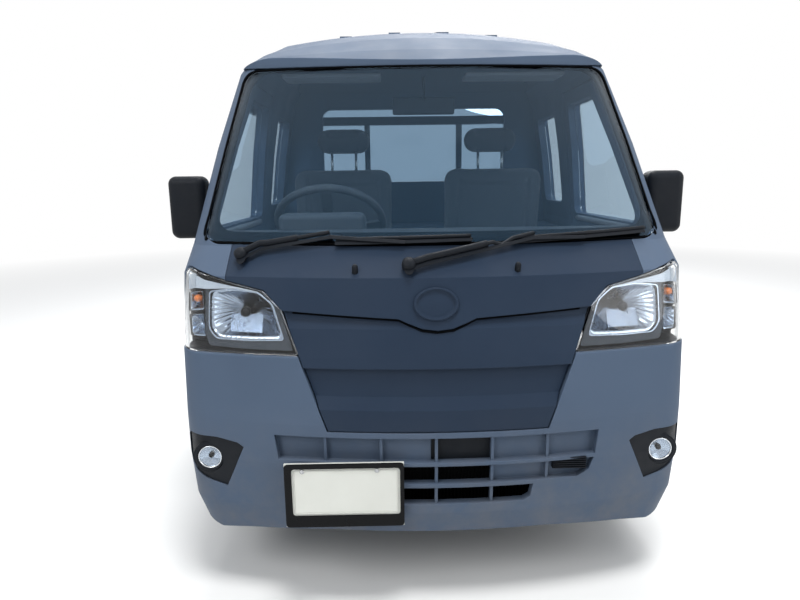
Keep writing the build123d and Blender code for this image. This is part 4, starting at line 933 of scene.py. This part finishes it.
# Where a ray meets nothing: the glass at a share of x and at a z, and how far ahead of it
SKIN_STANDS = (0.97, 1.07, 0.02)
WIPER_CAP = [(0.0185, 0.004), (0.0195, 0.016), (0.0175, 0.026), (0.0120, 0.030), (0.0, 0.0315)]


def skin(x, z, out):
    """A point on the glass or the cowl below it, seen from the front."""
    for node in ("windshield", "front_panel", "cab_side_left", "cab_side_right"):
        spot = from_front(node, x, z, out)
        if spot:
            return spot
    share, height, ahead = SKIN_STANDS
    return Vector((x, from_front("windshield", x * share, height).y - ahead - out, z))


def make_wiper_covers():
    """The moulded arm, the rod, the blade's frame and the pivot's cap of each wiper."""
    for name, pivot, kink, end, start, stop in WIPERS:
        arm_end = tuple((1 - ARM_SHARE) * one + ARM_SHARE * two for one, two in zip(kink, end))
        parts = (
            # name, line, height above the glass, radius, sides
            ("arm", [pivot, kink, arm_end], 0.020, 0.0095, 12),
            ("rod", [kink, end], 0.020, 0.0062, 10),
            ("frame", [start, stop], 0.016, 0.0055, 8),
        )
        for part, line, out, radius, sides in parts:
            path = [skin(spot.x, spot.y, out) for spot in along(line, WIPER_PITCH)]
            tube(f"wiper_{part}_{name}", path, radius, "black_trim", sides=sides)
        centre = skin(*pivot, 0.0)
        normal = (skin(*pivot, 0.02) - centre).normalized()
        lathe(f"wiper_cap_{name}", WIPER_CAP, centre, normal, "black_trim", steps=28)


# Sides: window outlines as (distance behind the front, z)
DOOR_WINDOW = [(0.420, 1.070), (0.765, 1.512), (1.055, 1.512), (1.115, 1.070)]
QUARTER_WINDOW = [(1.290, 1.110), (1.600, 1.110), (1.585, 1.500), (1.272, 1.500)]
SEAL_REACH = 0.007
SEAL_R = 0.0050
SEAL_CORNER = 0.030
SEAL_PITCH = 0.04
HANDLE = (1.075 + FRONT_Y, 0.975)
HANDLE_PLATE = (0.004, 0.060, 0.026)
# Out from the door's skin and along it
HANDLE_GRIP = [(0.004, -0.050), (0.020, -0.038), (0.023, 0.0), (0.020, 0.038), (0.004, 0.050)]
LOCK_AHEAD = 0.080
LOCK_PROFILE = [(0.0, 0.0050), (0.0080, 0.0045), (0.0095, 0.0025), (0.0095, -0.001)]
SILL_FROM = 0.50
SILL_LENGTH = 0.56
SILL_STEPS = 12
SILL_IN = 0.004
SILL_Z = 1.052
WINDER = (0.72 + FRONT_Y, 0.86)
WINDER_BOSS = [(0.0, 0.016), (0.012, 0.015), (0.020, 0.008), (0.022, 0.0)]
# Inwards from the door's inside, backwards and up
WINDER_ARM = [(0.014, 0, 0), (0.018, 0.06, 0.05), (0.018, 0.09, 0.07)]
MIRROR_GLASS_X = (0.752, 0.836)
MIRROR_GLASS_IN = 0.016
# Distance behind the front, x and z of the left rail
DRIP_RAIL = [(0.690, 0.622, 1.603), (0.720, 0.622, 1.608), (0.760, 0.624, 1.615), (1.000, 0.616, 1.637),
             (1.450, 0.610, 1.649), (1.690, 0.610, 1.649)]


def pushed_out(points, reach):
    """A closed outline whose corners move away from its middle by a reach in both directions."""
    middle = sum((Vector(point) for point in points), Vector((0, 0))) / len(points)
    return [(x + math.copysign(reach, x - middle.x), z + math.copysign(reach, z - middle.y))
            for x, z in points]


def make_seal(name, node, side, outline, body):
    """A rubber seal around a side window."""
    corners = smooth_outline(pushed_out(outline, SEAL_REACH), SEAL_CORNER, 5)
    line = [from_side(node, side, spot.x + FRONT_Y, spot.y) for spot in around(corners, SEAL_PITCH)]
    tube(name, [spot for spot in line if spot], SEAL_R, "seal_rubber", body, closed=True, sides=8)


def make_door_handle(name, side, door):
    """A pull handle in front of a dished plate, and a lock ahead of it."""
    y, z = HANDLE
    thick, half_length, half_height = HANDLE_PLATE
    face = from_side(door, side, y, z).x
    slab(f"handle_plate_{name}", (face, y - half_length, z - half_height),
         (face + side * thick, y + half_length, z + half_height), "black_trim", door, 0.0015)
    grip = [(face + side * out, y + shift, z) for out, shift in HANDLE_GRIP]
    tube(f"door_handle_{name}", grip, 0.0075, "black_trim", door, sides=12)
    lathe(f"door_lock_{name}", LOCK_PROFILE, (face, y - LOCK_AHEAD, z), (side, 0, 0), "bright_steel", door,
          steps=20)


def make_door_inside(name, side, door):
    """The pale sill below the window and the window winder."""
    sill = []
    for step in range(SILL_STEPS + 1):
        y = SILL_FROM + SILL_LENGTH * step / SILL_STEPS + FRONT_Y
        spot = cast(door, (0, y, SILL_Z), (side, 0, 0))[0]
        if spot:
            sill.append(spot + Vector((-side * SILL_IN, 0, 0)))
    tube(f"door_sill_{name}", sill, 0.0110, "pale_plastic", door)
    spot = cast(door, (0, *WINDER), (side, 0, 0))[0]
    lathe(f"winder_boss_{name}", WINDER_BOSS, spot, (-side, 0, 0), "cabin_plastic", door, steps=24)
    arm = [spot + Vector((-side * inwards, back, up)) for inwards, back, up in WINDER_ARM]
    tube(f"winder_arm_{name}", arm, 0.006, "cabin_plastic", door)


def make_mirror_glass(name, side, door):
    """The mirror glass in the rear face of the mirror's head."""
    low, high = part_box(f"mirror_{name}")
    x0, x1 = sorted(side * x for x in MIRROR_GLASS_X)
    z0, z1 = low.z + MIRROR_GLASS_IN, high.z - MIRROR_GLASS_IN
    outline = smooth_outline([(x0, z0), (x1, z0), (x1, z1), (x0, z1)], 0.018, 6)
    verts = [(spot.x, high.y + step, spot.y) for step in (0.0, 0.002) for spot in outline]
    faces = grid(2, len(outline), round_columns=True, capped=True)
    piece(f"mirror_glass_{name}", verts, faces, "chrome", door)


def make_side_trim():
    """Window seals, door handles, sills, winders, mirror glass and drip rails."""
    for name, side in SIDES.items():
        door = f"door_{name}"
        make_seal(f"door_seal_{name}", door, side, DOOR_WINDOW, door)
        make_seal(f"quarter_seal_{name}", f"cab_side_{name}", side, QUARTER_WINDOW, "chassis")
        make_door_handle(name, side, door)
        make_door_inside(name, side, door)
        make_mirror_glass(name, side, door)
        rail = [(side * x, y + FRONT_Y, z) for y, x, z in DRIP_RAIL]
        tube(f"drip_rail_{name}", rail, 0.0045, "body_paint", sides=8)


# Rain visor: distance behind the front and z of its upper and lower edge
VISOR_UPPER = [(0.600, 1.315), (0.680, 1.418), (0.752, 1.505), (0.800, 1.524), (0.900, 1.527), (1.060, 1.527)]
VISOR_LOWER = [(0.640, 1.295), (0.715, 1.390), (0.785, 1.462), (0.825, 1.478), (0.900, 1.482), (1.060, 1.484)]
VISOR_OUT = (0.001, 0.017)


def make_visor():
    """A dark rain visor over the driver's door window."""
    verts = []
    for line, out in zip((VISOR_UPPER, VISOR_LOWER), VISOR_OUT):
        for (y, z), (upper_y, upper_z) in zip(line, VISOR_UPPER):
            place = from_side("door_right", -1, upper_y + FRONT_Y, upper_z)
            verts.append((place.x - out, y + FRONT_Y, z))
    visor = piece("window_visor", verts, grid(2, len(VISOR_UPPER)), "gloss_black", "door_right", smooth=True)
    thicken(visor, 0.003)


# Cabin: x, distance behind the front and z, or corners of blocks in them
CABIN_BLOCKS = [
    # name, corner, opposite corner, material, edge radius
    ("instrument_hood", (-0.470, 0.335, 1.050), (-0.200, 0.425, 1.120), "cabin_plastic", 0.020),
    ("instrument_face", (-0.450, 0.424, 1.062), (-0.220, 0.428, 1.108), "gloss_black", 0.001),
    ("cabin_mirror", (-0.110, 0.695, 1.445), (0.110, 0.715, 1.505), "black_trim", 0.008),
    ("sun_visor_left", (0.150, 0.700, 1.574), (0.500, 0.840, 1.588), "pale_plastic", 0.006),
    ("sun_visor_right", (-0.150, 0.700, 1.574), (-0.500, 0.840, 1.588), "pale_plastic", 0.006),
]
STACK_RAY = (0.0, 1.0, 0.90)
STACK_DEPTH = 0.012
STACK_BLOCKS = [
    # name, half width, from and to behind the dashboard's face, z from and to, material, edge radius
    ("centre_stack", 0.115, (-0.010, STACK_DEPTH), (0.815, 0.955), "black_trim", 0.006),
    ("radio_face", 0.090, (0.010, 0.016), (0.880, 0.930), "gloss_black", 0.002),
]
KNOBS_X = (-0.058, 0.058)
KNOB_Z = 0.850
KNOB_PROFILE = [(0.0, 0.020), (0.015, 0.0195), (0.018, 0.016), (0.019, 0.0)]
DEFROST_SLATS = 40
DEFROST_HALF = 0.30
DEFROST_SLAT = 0.007
DEFROST_Y = (0.250 + FRONT_Y, 0.290 + FRONT_Y)
DEFROST_SUNK = (0.016, 0.004)
MIRROR_STEM = [(0, 0.700 + FRONT_Y, 1.575), (0, 0.690 + FRONT_Y, 1.520), (0, 0.700 + FRONT_Y, 1.490)]


def make_cabin():
    """What the dash and the cab's inside show through the glass."""
    for name, (x0, y0, z0), (x1, y1, z1), material, edge in CABIN_BLOCKS:
        slab(name, (x0, y0 + FRONT_Y, z0), (x1, y1 + FRONT_Y, z1), material, bevel=edge)
    face = cast("dashboard", STACK_RAY, (0, -1, 0))[0].y
    for name, half, (y0, y1), (z0, z1), material, edge in STACK_BLOCKS:
        slab(name, (-half, face + y0, z0), (half, face + y1, z1), material, bevel=edge)
    for number, x in enumerate(KNOBS_X):
        spot = (x, face + STACK_DEPTH, KNOB_Z)
        lathe(f"dash_knob_{number}", KNOB_PROFILE, spot, (0, 1, 0), "cabin_plastic", steps=28)
    top = cast("dashboard", (0.0, 0.360 + FRONT_Y, 2.0), (0, 0, -1))[0].z
    slats = []
    for number in range(DEFROST_SLATS):
        x = -DEFROST_HALF + 2 * DEFROST_HALF * number / (DEFROST_SLATS - 1)
        slats.append(slab(f"defrost_{number}", (x, DEFROST_Y[0], top - DEFROST_SUNK[0]),
                          (x + DEFROST_SLAT, DEFROST_Y[1], top - DEFROST_SUNK[1]), "black_trim", bevel=0.0))
    join(slats, "defrost_slots")
    tube("cabin_mirror_stem", MIRROR_STEM, 0.006, "black_trim")


# Lower grille
LOUVRES = 6
LOUVRE_LOW = (0.322, 0.030 + FRONT_Y, 0.419)
LOUVRE_HIGH = (0.417, 0.048 + FRONT_Y, 0.4216)
LOUVRE_PITCH = 0.0062
FINS = 66
FIN_X = -0.328
FIN_PITCH = 0.010
FIN_WIDTH = 0.0025
FIN_Y = (-1.6000, -1.5950)
FIN_Z = (0.292, 0.430)
# The radiator behind the grille, near-black: a real part that also paints the shade there
RADIATOR_AND_SHADE = ((-0.330, -1.5950, 0.290), (0.330, -1.5920, 0.432))


def make_grille_details():
    """A louvred vent in the grille's outer bay, and the radiator's sheet and fins behind the grille,
    near-black so that they also paint the shade behind the grille.
    """
    slats = []
    for number in range(LOUVRES):
        rise = Vector((0, 0, LOUVRE_PITCH * number))
        low, high = (Vector(corner) + rise for corner in (LOUVRE_LOW, LOUVRE_HIGH))
        slats.append(slab(f"vent_{number}", low, high, "black_trim", bevel=0.0006))
    join(slats, "vent_louvres")
    # no slot of the record stands for the radiator; its near-black sheet and fins also paint the shade behind
    # the grille
    fins = [slab("radiator_and_shade_back", *RADIATOR_AND_SHADE, "frit_black", bevel=0.0, slot="none")]
    for number in range(FINS):
        x = FIN_X + FIN_PITCH * number
        fins.append(slab(f"fin_{number}", (x, FIN_Y[0], FIN_Z[0]), (x + FIN_WIDTH, FIN_Y[1], FIN_Z[1]),
                         "frit_black", bevel=0.0, slot="none"))
    join(fins, "radiator_and_shade_fins")


# Bed
TAIL_SECTIONS = [
    # name, from and to across the truck, material
    ("red", 0.560, 0.688, "tail_lens"),
    ("amber", 0.515, 0.558, "amber_lens"),
    ("white", 0.472, 0.513, "white_lens"),
]
TAIL_INSET = 0.003
TAIL_STAND = (-0.002, 0.005)
LATCH_IN = 0.045
LATCH_HALF = 0.012
LATCH_Z = (0.845, 0.925)
LATCH_STAND = (-0.002, 0.010)
HOOK_X = 0.700
HOOK_HALF = 0.022
HOOK_Z = (0.605, 0.580)
HOOKS_Y = [-0.050 + 0.50 * number for number in range(4)]
FUEL_CAP = [(0.0, 0.016), (0.026, 0.015), (0.032, 0.010), (0.034, 0.0)]
FUEL_CAP_IN = (0.10, 0.05)


def make_bed_details():
    """Tail lamp sections, gate latches, rope hooks and the fuel cap."""
    low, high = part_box("tail_lamps")
    for name, side in SIDES.items():
        for part, x0, x1, material in TAIL_SECTIONS:
            slab(f"tail_{part}_{name}", (side * x0, high.y + TAIL_STAND[0], low.z + TAIL_INSET),
                 (side * x1, high.y + TAIL_STAND[1], high.z - TAIL_INSET), material)
        gate_low, gate_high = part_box(f"gate_{name}")
        outer = gate_high.x if side > 0 else gate_low.x
        for number, y in enumerate((gate_low.y + LATCH_IN, gate_high.y - LATCH_IN)):
            x0, x1 = (outer + side * out for out in LATCH_STAND)
            slab(f"gate_latch_{name}_{number}", (x0, y - LATCH_HALF, LATCH_Z[0]),
                 (x1, y + LATCH_HALF, LATCH_Z[1]), "bright_steel", f"gate_{name}", 0.004)
        for number, y in enumerate(HOOKS_Y):
            top, bottom = HOOK_Z
            spots = ((-HOOK_HALF, top), (-HOOK_HALF, bottom), (HOOK_HALF, bottom), (HOOK_HALF, top))
            hook = [(side * HOOK_X, y + shift, z) for shift, z in spots]
            tube(f"rope_hook_{name}_{number}", hook, 0.0045, "chassis_black", sides=8)
    low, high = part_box("fuel_tank")
    place = (high.x, low.y + FUEL_CAP_IN[0], high.z - FUEL_CAP_IN[1])
    lathe("fuel_cap", FUEL_CAP, place, (1, 0, 0), "black_trim", steps=32)


# Wheels
TREAD_STEPS = 150
NOTCH_EVERY = 5
TREAD_TWIST = 0.012
TREAD_HALF = 0.07
SMOOTH_FROM = 0.064
TREAD = [
    # across the tyre from one shoulder to the middle: x, radius, how deep a notch goes there
    (-0.0725, 0.2135, 0.0), (-0.0722, 0.2300, 0.0), (-0.0700, 0.2430, 0.0), (-0.0650, 0.2540, 0.002),
    (-0.0590, 0.2620, 0.006), (-0.0500, 0.2660, 0.008), (-0.0420, 0.2675, 0.008), (-0.0405, 0.2610, 0.0),
    (-0.0355, 0.2610, 0.0), (-0.0340, 0.2680, 0.003), (-0.0160, 0.2684, 0.003), (-0.0148, 0.2612, 0.0),
    (-0.0098, 0.2612, 0.0), (-0.0086, 0.2685, 0.0),
]
# x and radius from the shoulder down to the bead
SIDEWALL = [(0.0720, 0.2050), (0.0700, 0.1960), (0.0665, 0.1850), (0.0600, 0.1740), (0.0520, 0.1660),
            (0.0465, 0.1640), (0.0460, 0.1524), (0.0380, 0.1522)]
RIDGE_X = 0.0716
RIDGE_R = 0.218
RIDGE_STEPS = 90
HUB_CAP = [(0.0, 0.030), (0.014, 0.0295), (0.022, 0.026), (0.0245, 0.018), (0.0245, 0.004)]
NUTS = 4
NUT_CIRCLE = 0.050
NUT_OUT = 0.004
NUT_PROFILE = [(0.0125, -0.001), (0.0125, 0.004), (0.0098, 0.006), (0.0098, 0.018), (0.0080, 0.0215),
               (0.0, 0.0225)]


def make_tyre(name, side, y, body):
    """A road tyre with grooves round it and notched shoulders. It stands where the CAD tyre does."""
    half = [(-x, radius, 0.0) for x, radius in reversed(SIDEWALL)] + TREAD
    section = half + [(-x, radius, depth) for x, radius, depth in reversed(half)]
    middle = side * HALF_TRACK
    verts = []
    for step, angle in enumerate(angles(TREAD_STEPS)):
        for x, radius, depth in section:
            r = radius if step % NOTCH_EVERY else radius - depth
            a = angle + TREAD_TWIST * x / TREAD_HALF
            verts.append((middle + x, y + r * math.cos(a), TYRE_R + r * math.sin(a)))
    faces = grid(TREAD_STEPS, len(section), round_rows=True, round_columns=True)
    item = piece(f"{name}_road", verts, faces, "tyre_rubber", body)
    for polygon in item.data.polygons:
        polygon.use_smooth = abs(polygon.center.x - middle) > SMOOTH_FROM
    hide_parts(name)
    ridge = [(middle + side * RIDGE_X, y + RIDGE_R * math.cos(a), TYRE_R + RIDGE_R * math.sin(a))
             for a in angles(RIDGE_STEPS)]
    tube(f"{name}_ridge", ridge, 0.0016, "tyre_rubber", body, closed=True, sides=6)


def make_wheels():
    """Tyres with tread, hub caps and wheel nuts."""
    for end, y in (("front", FRONT_AXLE_Y), ("rear", REAR_AXLE_Y)):
        for name, side in SIDES.items():
            body = f"wheel_{end}_{name}"
            make_tyre(f"tyre_{end}_{name}", side, y, body)
            out = (side, 0, 0)
            lathe(f"hub_cap_{end}_{name}", HUB_CAP, (side * HALF_TRACK, y, TYRE_R), out, "bright_steel", body,
                  steps=32, slot="rim_paint")
            nuts = []
            for number in range(NUTS):
                angle = math.pi / 4 + number * math.pi / 2
                spot = (side * (HALF_TRACK + NUT_OUT), y + NUT_CIRCLE * math.cos(angle),
                        TYRE_R + NUT_CIRCLE * math.sin(angle))
                nut = lathe(f"nut_{end}_{name}_{number}", NUT_PROFILE, spot, out, "bright_steel", body,
                            steps=6, slot="rim_paint")
                for polygon in nut.data.polygons:
                    polygon.use_smooth = False
                nuts.append(nut)
            join(nuts, f"wheel_nuts_{end}_{name}")


# Seats
SEAT_X = 0.330
PADS = [
    # name, CAD node, width, length, thickness, voxel, how far it may puff up, place behind the front, z, lean
    ("cushion", "seat_cushions", 0.472, 0.472, 0.100, 0.0115, 0.010, 0.880, 0.770, 0.0),
    ("back", "seat_backs", 0.452, 0.500, 0.082, 0.0115, 0.009, 1.214, 1.030, 99.5),
    ("headrest", "seat_backs", 0.250, 0.118, 0.064, 0.008, 0.006, 1.276, 1.390, 97.0),
]
PAD_MARGIN = 0.012
PAD_RINGS = 9
PAD_ROUNDING = 0.045
PAD_POWERS = (3.2, 2.6)
PAD_CORNER = 0.06
PAD_PRESSURE = 4.0
PAD_STIFFNESS = 30
PAD_FRAMES = 20
SEAMS = {
    # the axis they lie across, its shift, their distance from the middle on both sides, how far they run
    "cushion": [(0, 0.0, 0.158, 0.19), (1, 0.02, 0.150, 0.158)],
    "back": [(0, 0.0, 0.150, 0.20), (1, 0.0, 0.170, 0.150)],
    "headrest": [],
}
SEAM_DEPTH = 0.010
SEAM_HALF = 0.012
POST_SHIFTS = (-0.054, 0.054)
POST = [(1.255 + FRONT_Y, 1.24), (1.266 + FRONT_Y, 1.30), (1.274 + FRONT_Y, 1.37)]
SEAT_FEET = [
    # name, half width, from and to behind the front, z from and to
    ("seat_stand", 0.2, (1.160, 1.200), (0.7003, 0.80)),
    ("seat_pan", 0.222, (0.668, 1.110), (0.7003, 0.726)),
]


def pad_form(name, width, length, thick):
    """A flat rounded pad about its middle: x across, y along, z up."""
    verts = []
    for number in range(PAD_RINGS):
        t = number / (PAD_RINGS - 1) * 2 - 1
        inset = (1 - (1 - abs(t) ** PAD_POWERS[0]) ** (1 / PAD_POWERS[1])) * PAD_ROUNDING
        x, y = width / 2 - inset, length / 2 - inset
        outline = smooth_outline([(-x, -y), (x, -y), (x, y), (-x, y)], PAD_CORNER, 5)
        verts += [(spot.x, spot.y, t * thick / 2) for spot in outline]
    faces = grid(PAD_RINGS, len(outline), round_columns=True, capped=True)
    return piece(name, verts, faces, "seat_fabric")


def puff(item, voxel, cap):
    """Blows a closed pad up a little, so that its faces crown between the seams."""
    scene = bpy.context.scene
    bpy.context.view_layer.objects.active = item
    item.select_set(True)
    remesh = item.modifiers.new("even", "REMESH")
    remesh.mode = "VOXEL"
    remesh.voxel_size = voxel
    bpy.ops.object.modifier_apply(modifier="even")
    rest = [vertex.co.copy() for vertex in item.data.vertices]
    soft = item.modifiers.new("cloth", "CLOTH")
    soft.settings.use_pressure = True
    soft.settings.uniform_pressure_force = PAD_PRESSURE
    soft.settings.effector_weights.gravity = 0.0
    soft.settings.tension_stiffness = PAD_STIFFNESS
    soft.settings.compression_stiffness = PAD_STIFFNESS
    soft.point_cache.frame_start = 1
    soft.point_cache.frame_end = PAD_FRAMES
    for number in range(1, PAD_FRAMES + 1):
        scene.frame_set(number)
    bpy.ops.object.modifier_apply(modifier="cloth")
    scene.frame_set(1)
    for vertex, old in zip(item.data.vertices, rest):
        move = vertex.co - old
        if move.length > cap:
            vertex.co = old + move.normalized() * cap
    shade_smooth(item.data)
    item.select_set(False)


def sew(item, seams):
    """Presses straight sewn channels into a pad's upper face."""
    for vertex in item.data.vertices:
        for axis, shift, place, reach in seams:
            spot = vertex.co
            share = (abs(spot[axis] + shift) - place) / SEAM_HALF
            if abs(spot[1 - axis]) < reach and abs(share) < 1 and spot.z > 0:
                spot.z -= SEAM_DEPTH * (1 - share ** 2) ** 2
    item.data.update()


def copy_of(item, name, matrix):
    """A placed copy of a finished mesh."""
    mesh = item.data.copy()
    mesh.transform(matrix)
    made = bpy.data.objects.new(name, mesh)
    bpy.context.scene.collection.objects.link(made)
    return made


def make_seats():
    """Two padded seats: a cushion and a back each, and a headrest on two posts."""
    pads = []
    for kind, node, width, length, thick, voxel, cap, back, z, lean in PADS:
        form = pad_form(f"{kind}_form", width - PAD_MARGIN, length - PAD_MARGIN, thick - PAD_MARGIN)
        puff(form, voxel, cap)
        sew(form, SEAMS[kind])
        for name, side in SIDES.items():
            place = Matrix.Translation((side * SEAT_X, back + FRONT_Y, z))
            pad = copy_of(form, f"seat_{kind}_{name}", place @ Matrix.Rotation(math.radians(lean), 4, "X"))
            finer = pad.modifiers.new("finer", "SUBSURF")
            finer.levels = finer.render_levels = 1
            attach(pad, "chassis")
            pads.append((pad, node))
        bpy.data.objects.remove(form)
    for pad, node in pads:
        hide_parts(node)
    for name, side in SIDES.items():
        middle = side * SEAT_X
        for number, shift in enumerate(POST_SHIFTS):
            post = [(middle + shift, y, z) for y, z in POST]
            tube(f"headrest_post_{name}_{number}", post, 0.006, "bright_steel", slot="seat_fabric")
        for part, half, (y0, y1), (z0, z1) in SEAT_FEET:
            slab(f"{part}_{name}", (middle - half, y0 + FRONT_Y, z0), (middle + half, y1 + FRONT_Y, z1),
                 "black_trim", bevel=0.006)


bpy.context.scene.view_settings.view_transform = "Standard"
make_camera()
make_world()
make_lamps()
make_stage()
dress_nodes()
split_nodes()
make_glass_trim()
make_badge()
make_nozzles()
make_plate()
make_headlamps()
make_fog_lamps()
make_wiper_covers()
make_side_trim()
make_visor()
make_cabin()
make_grille_details()
make_bed_details()
make_wheels()
make_seats()
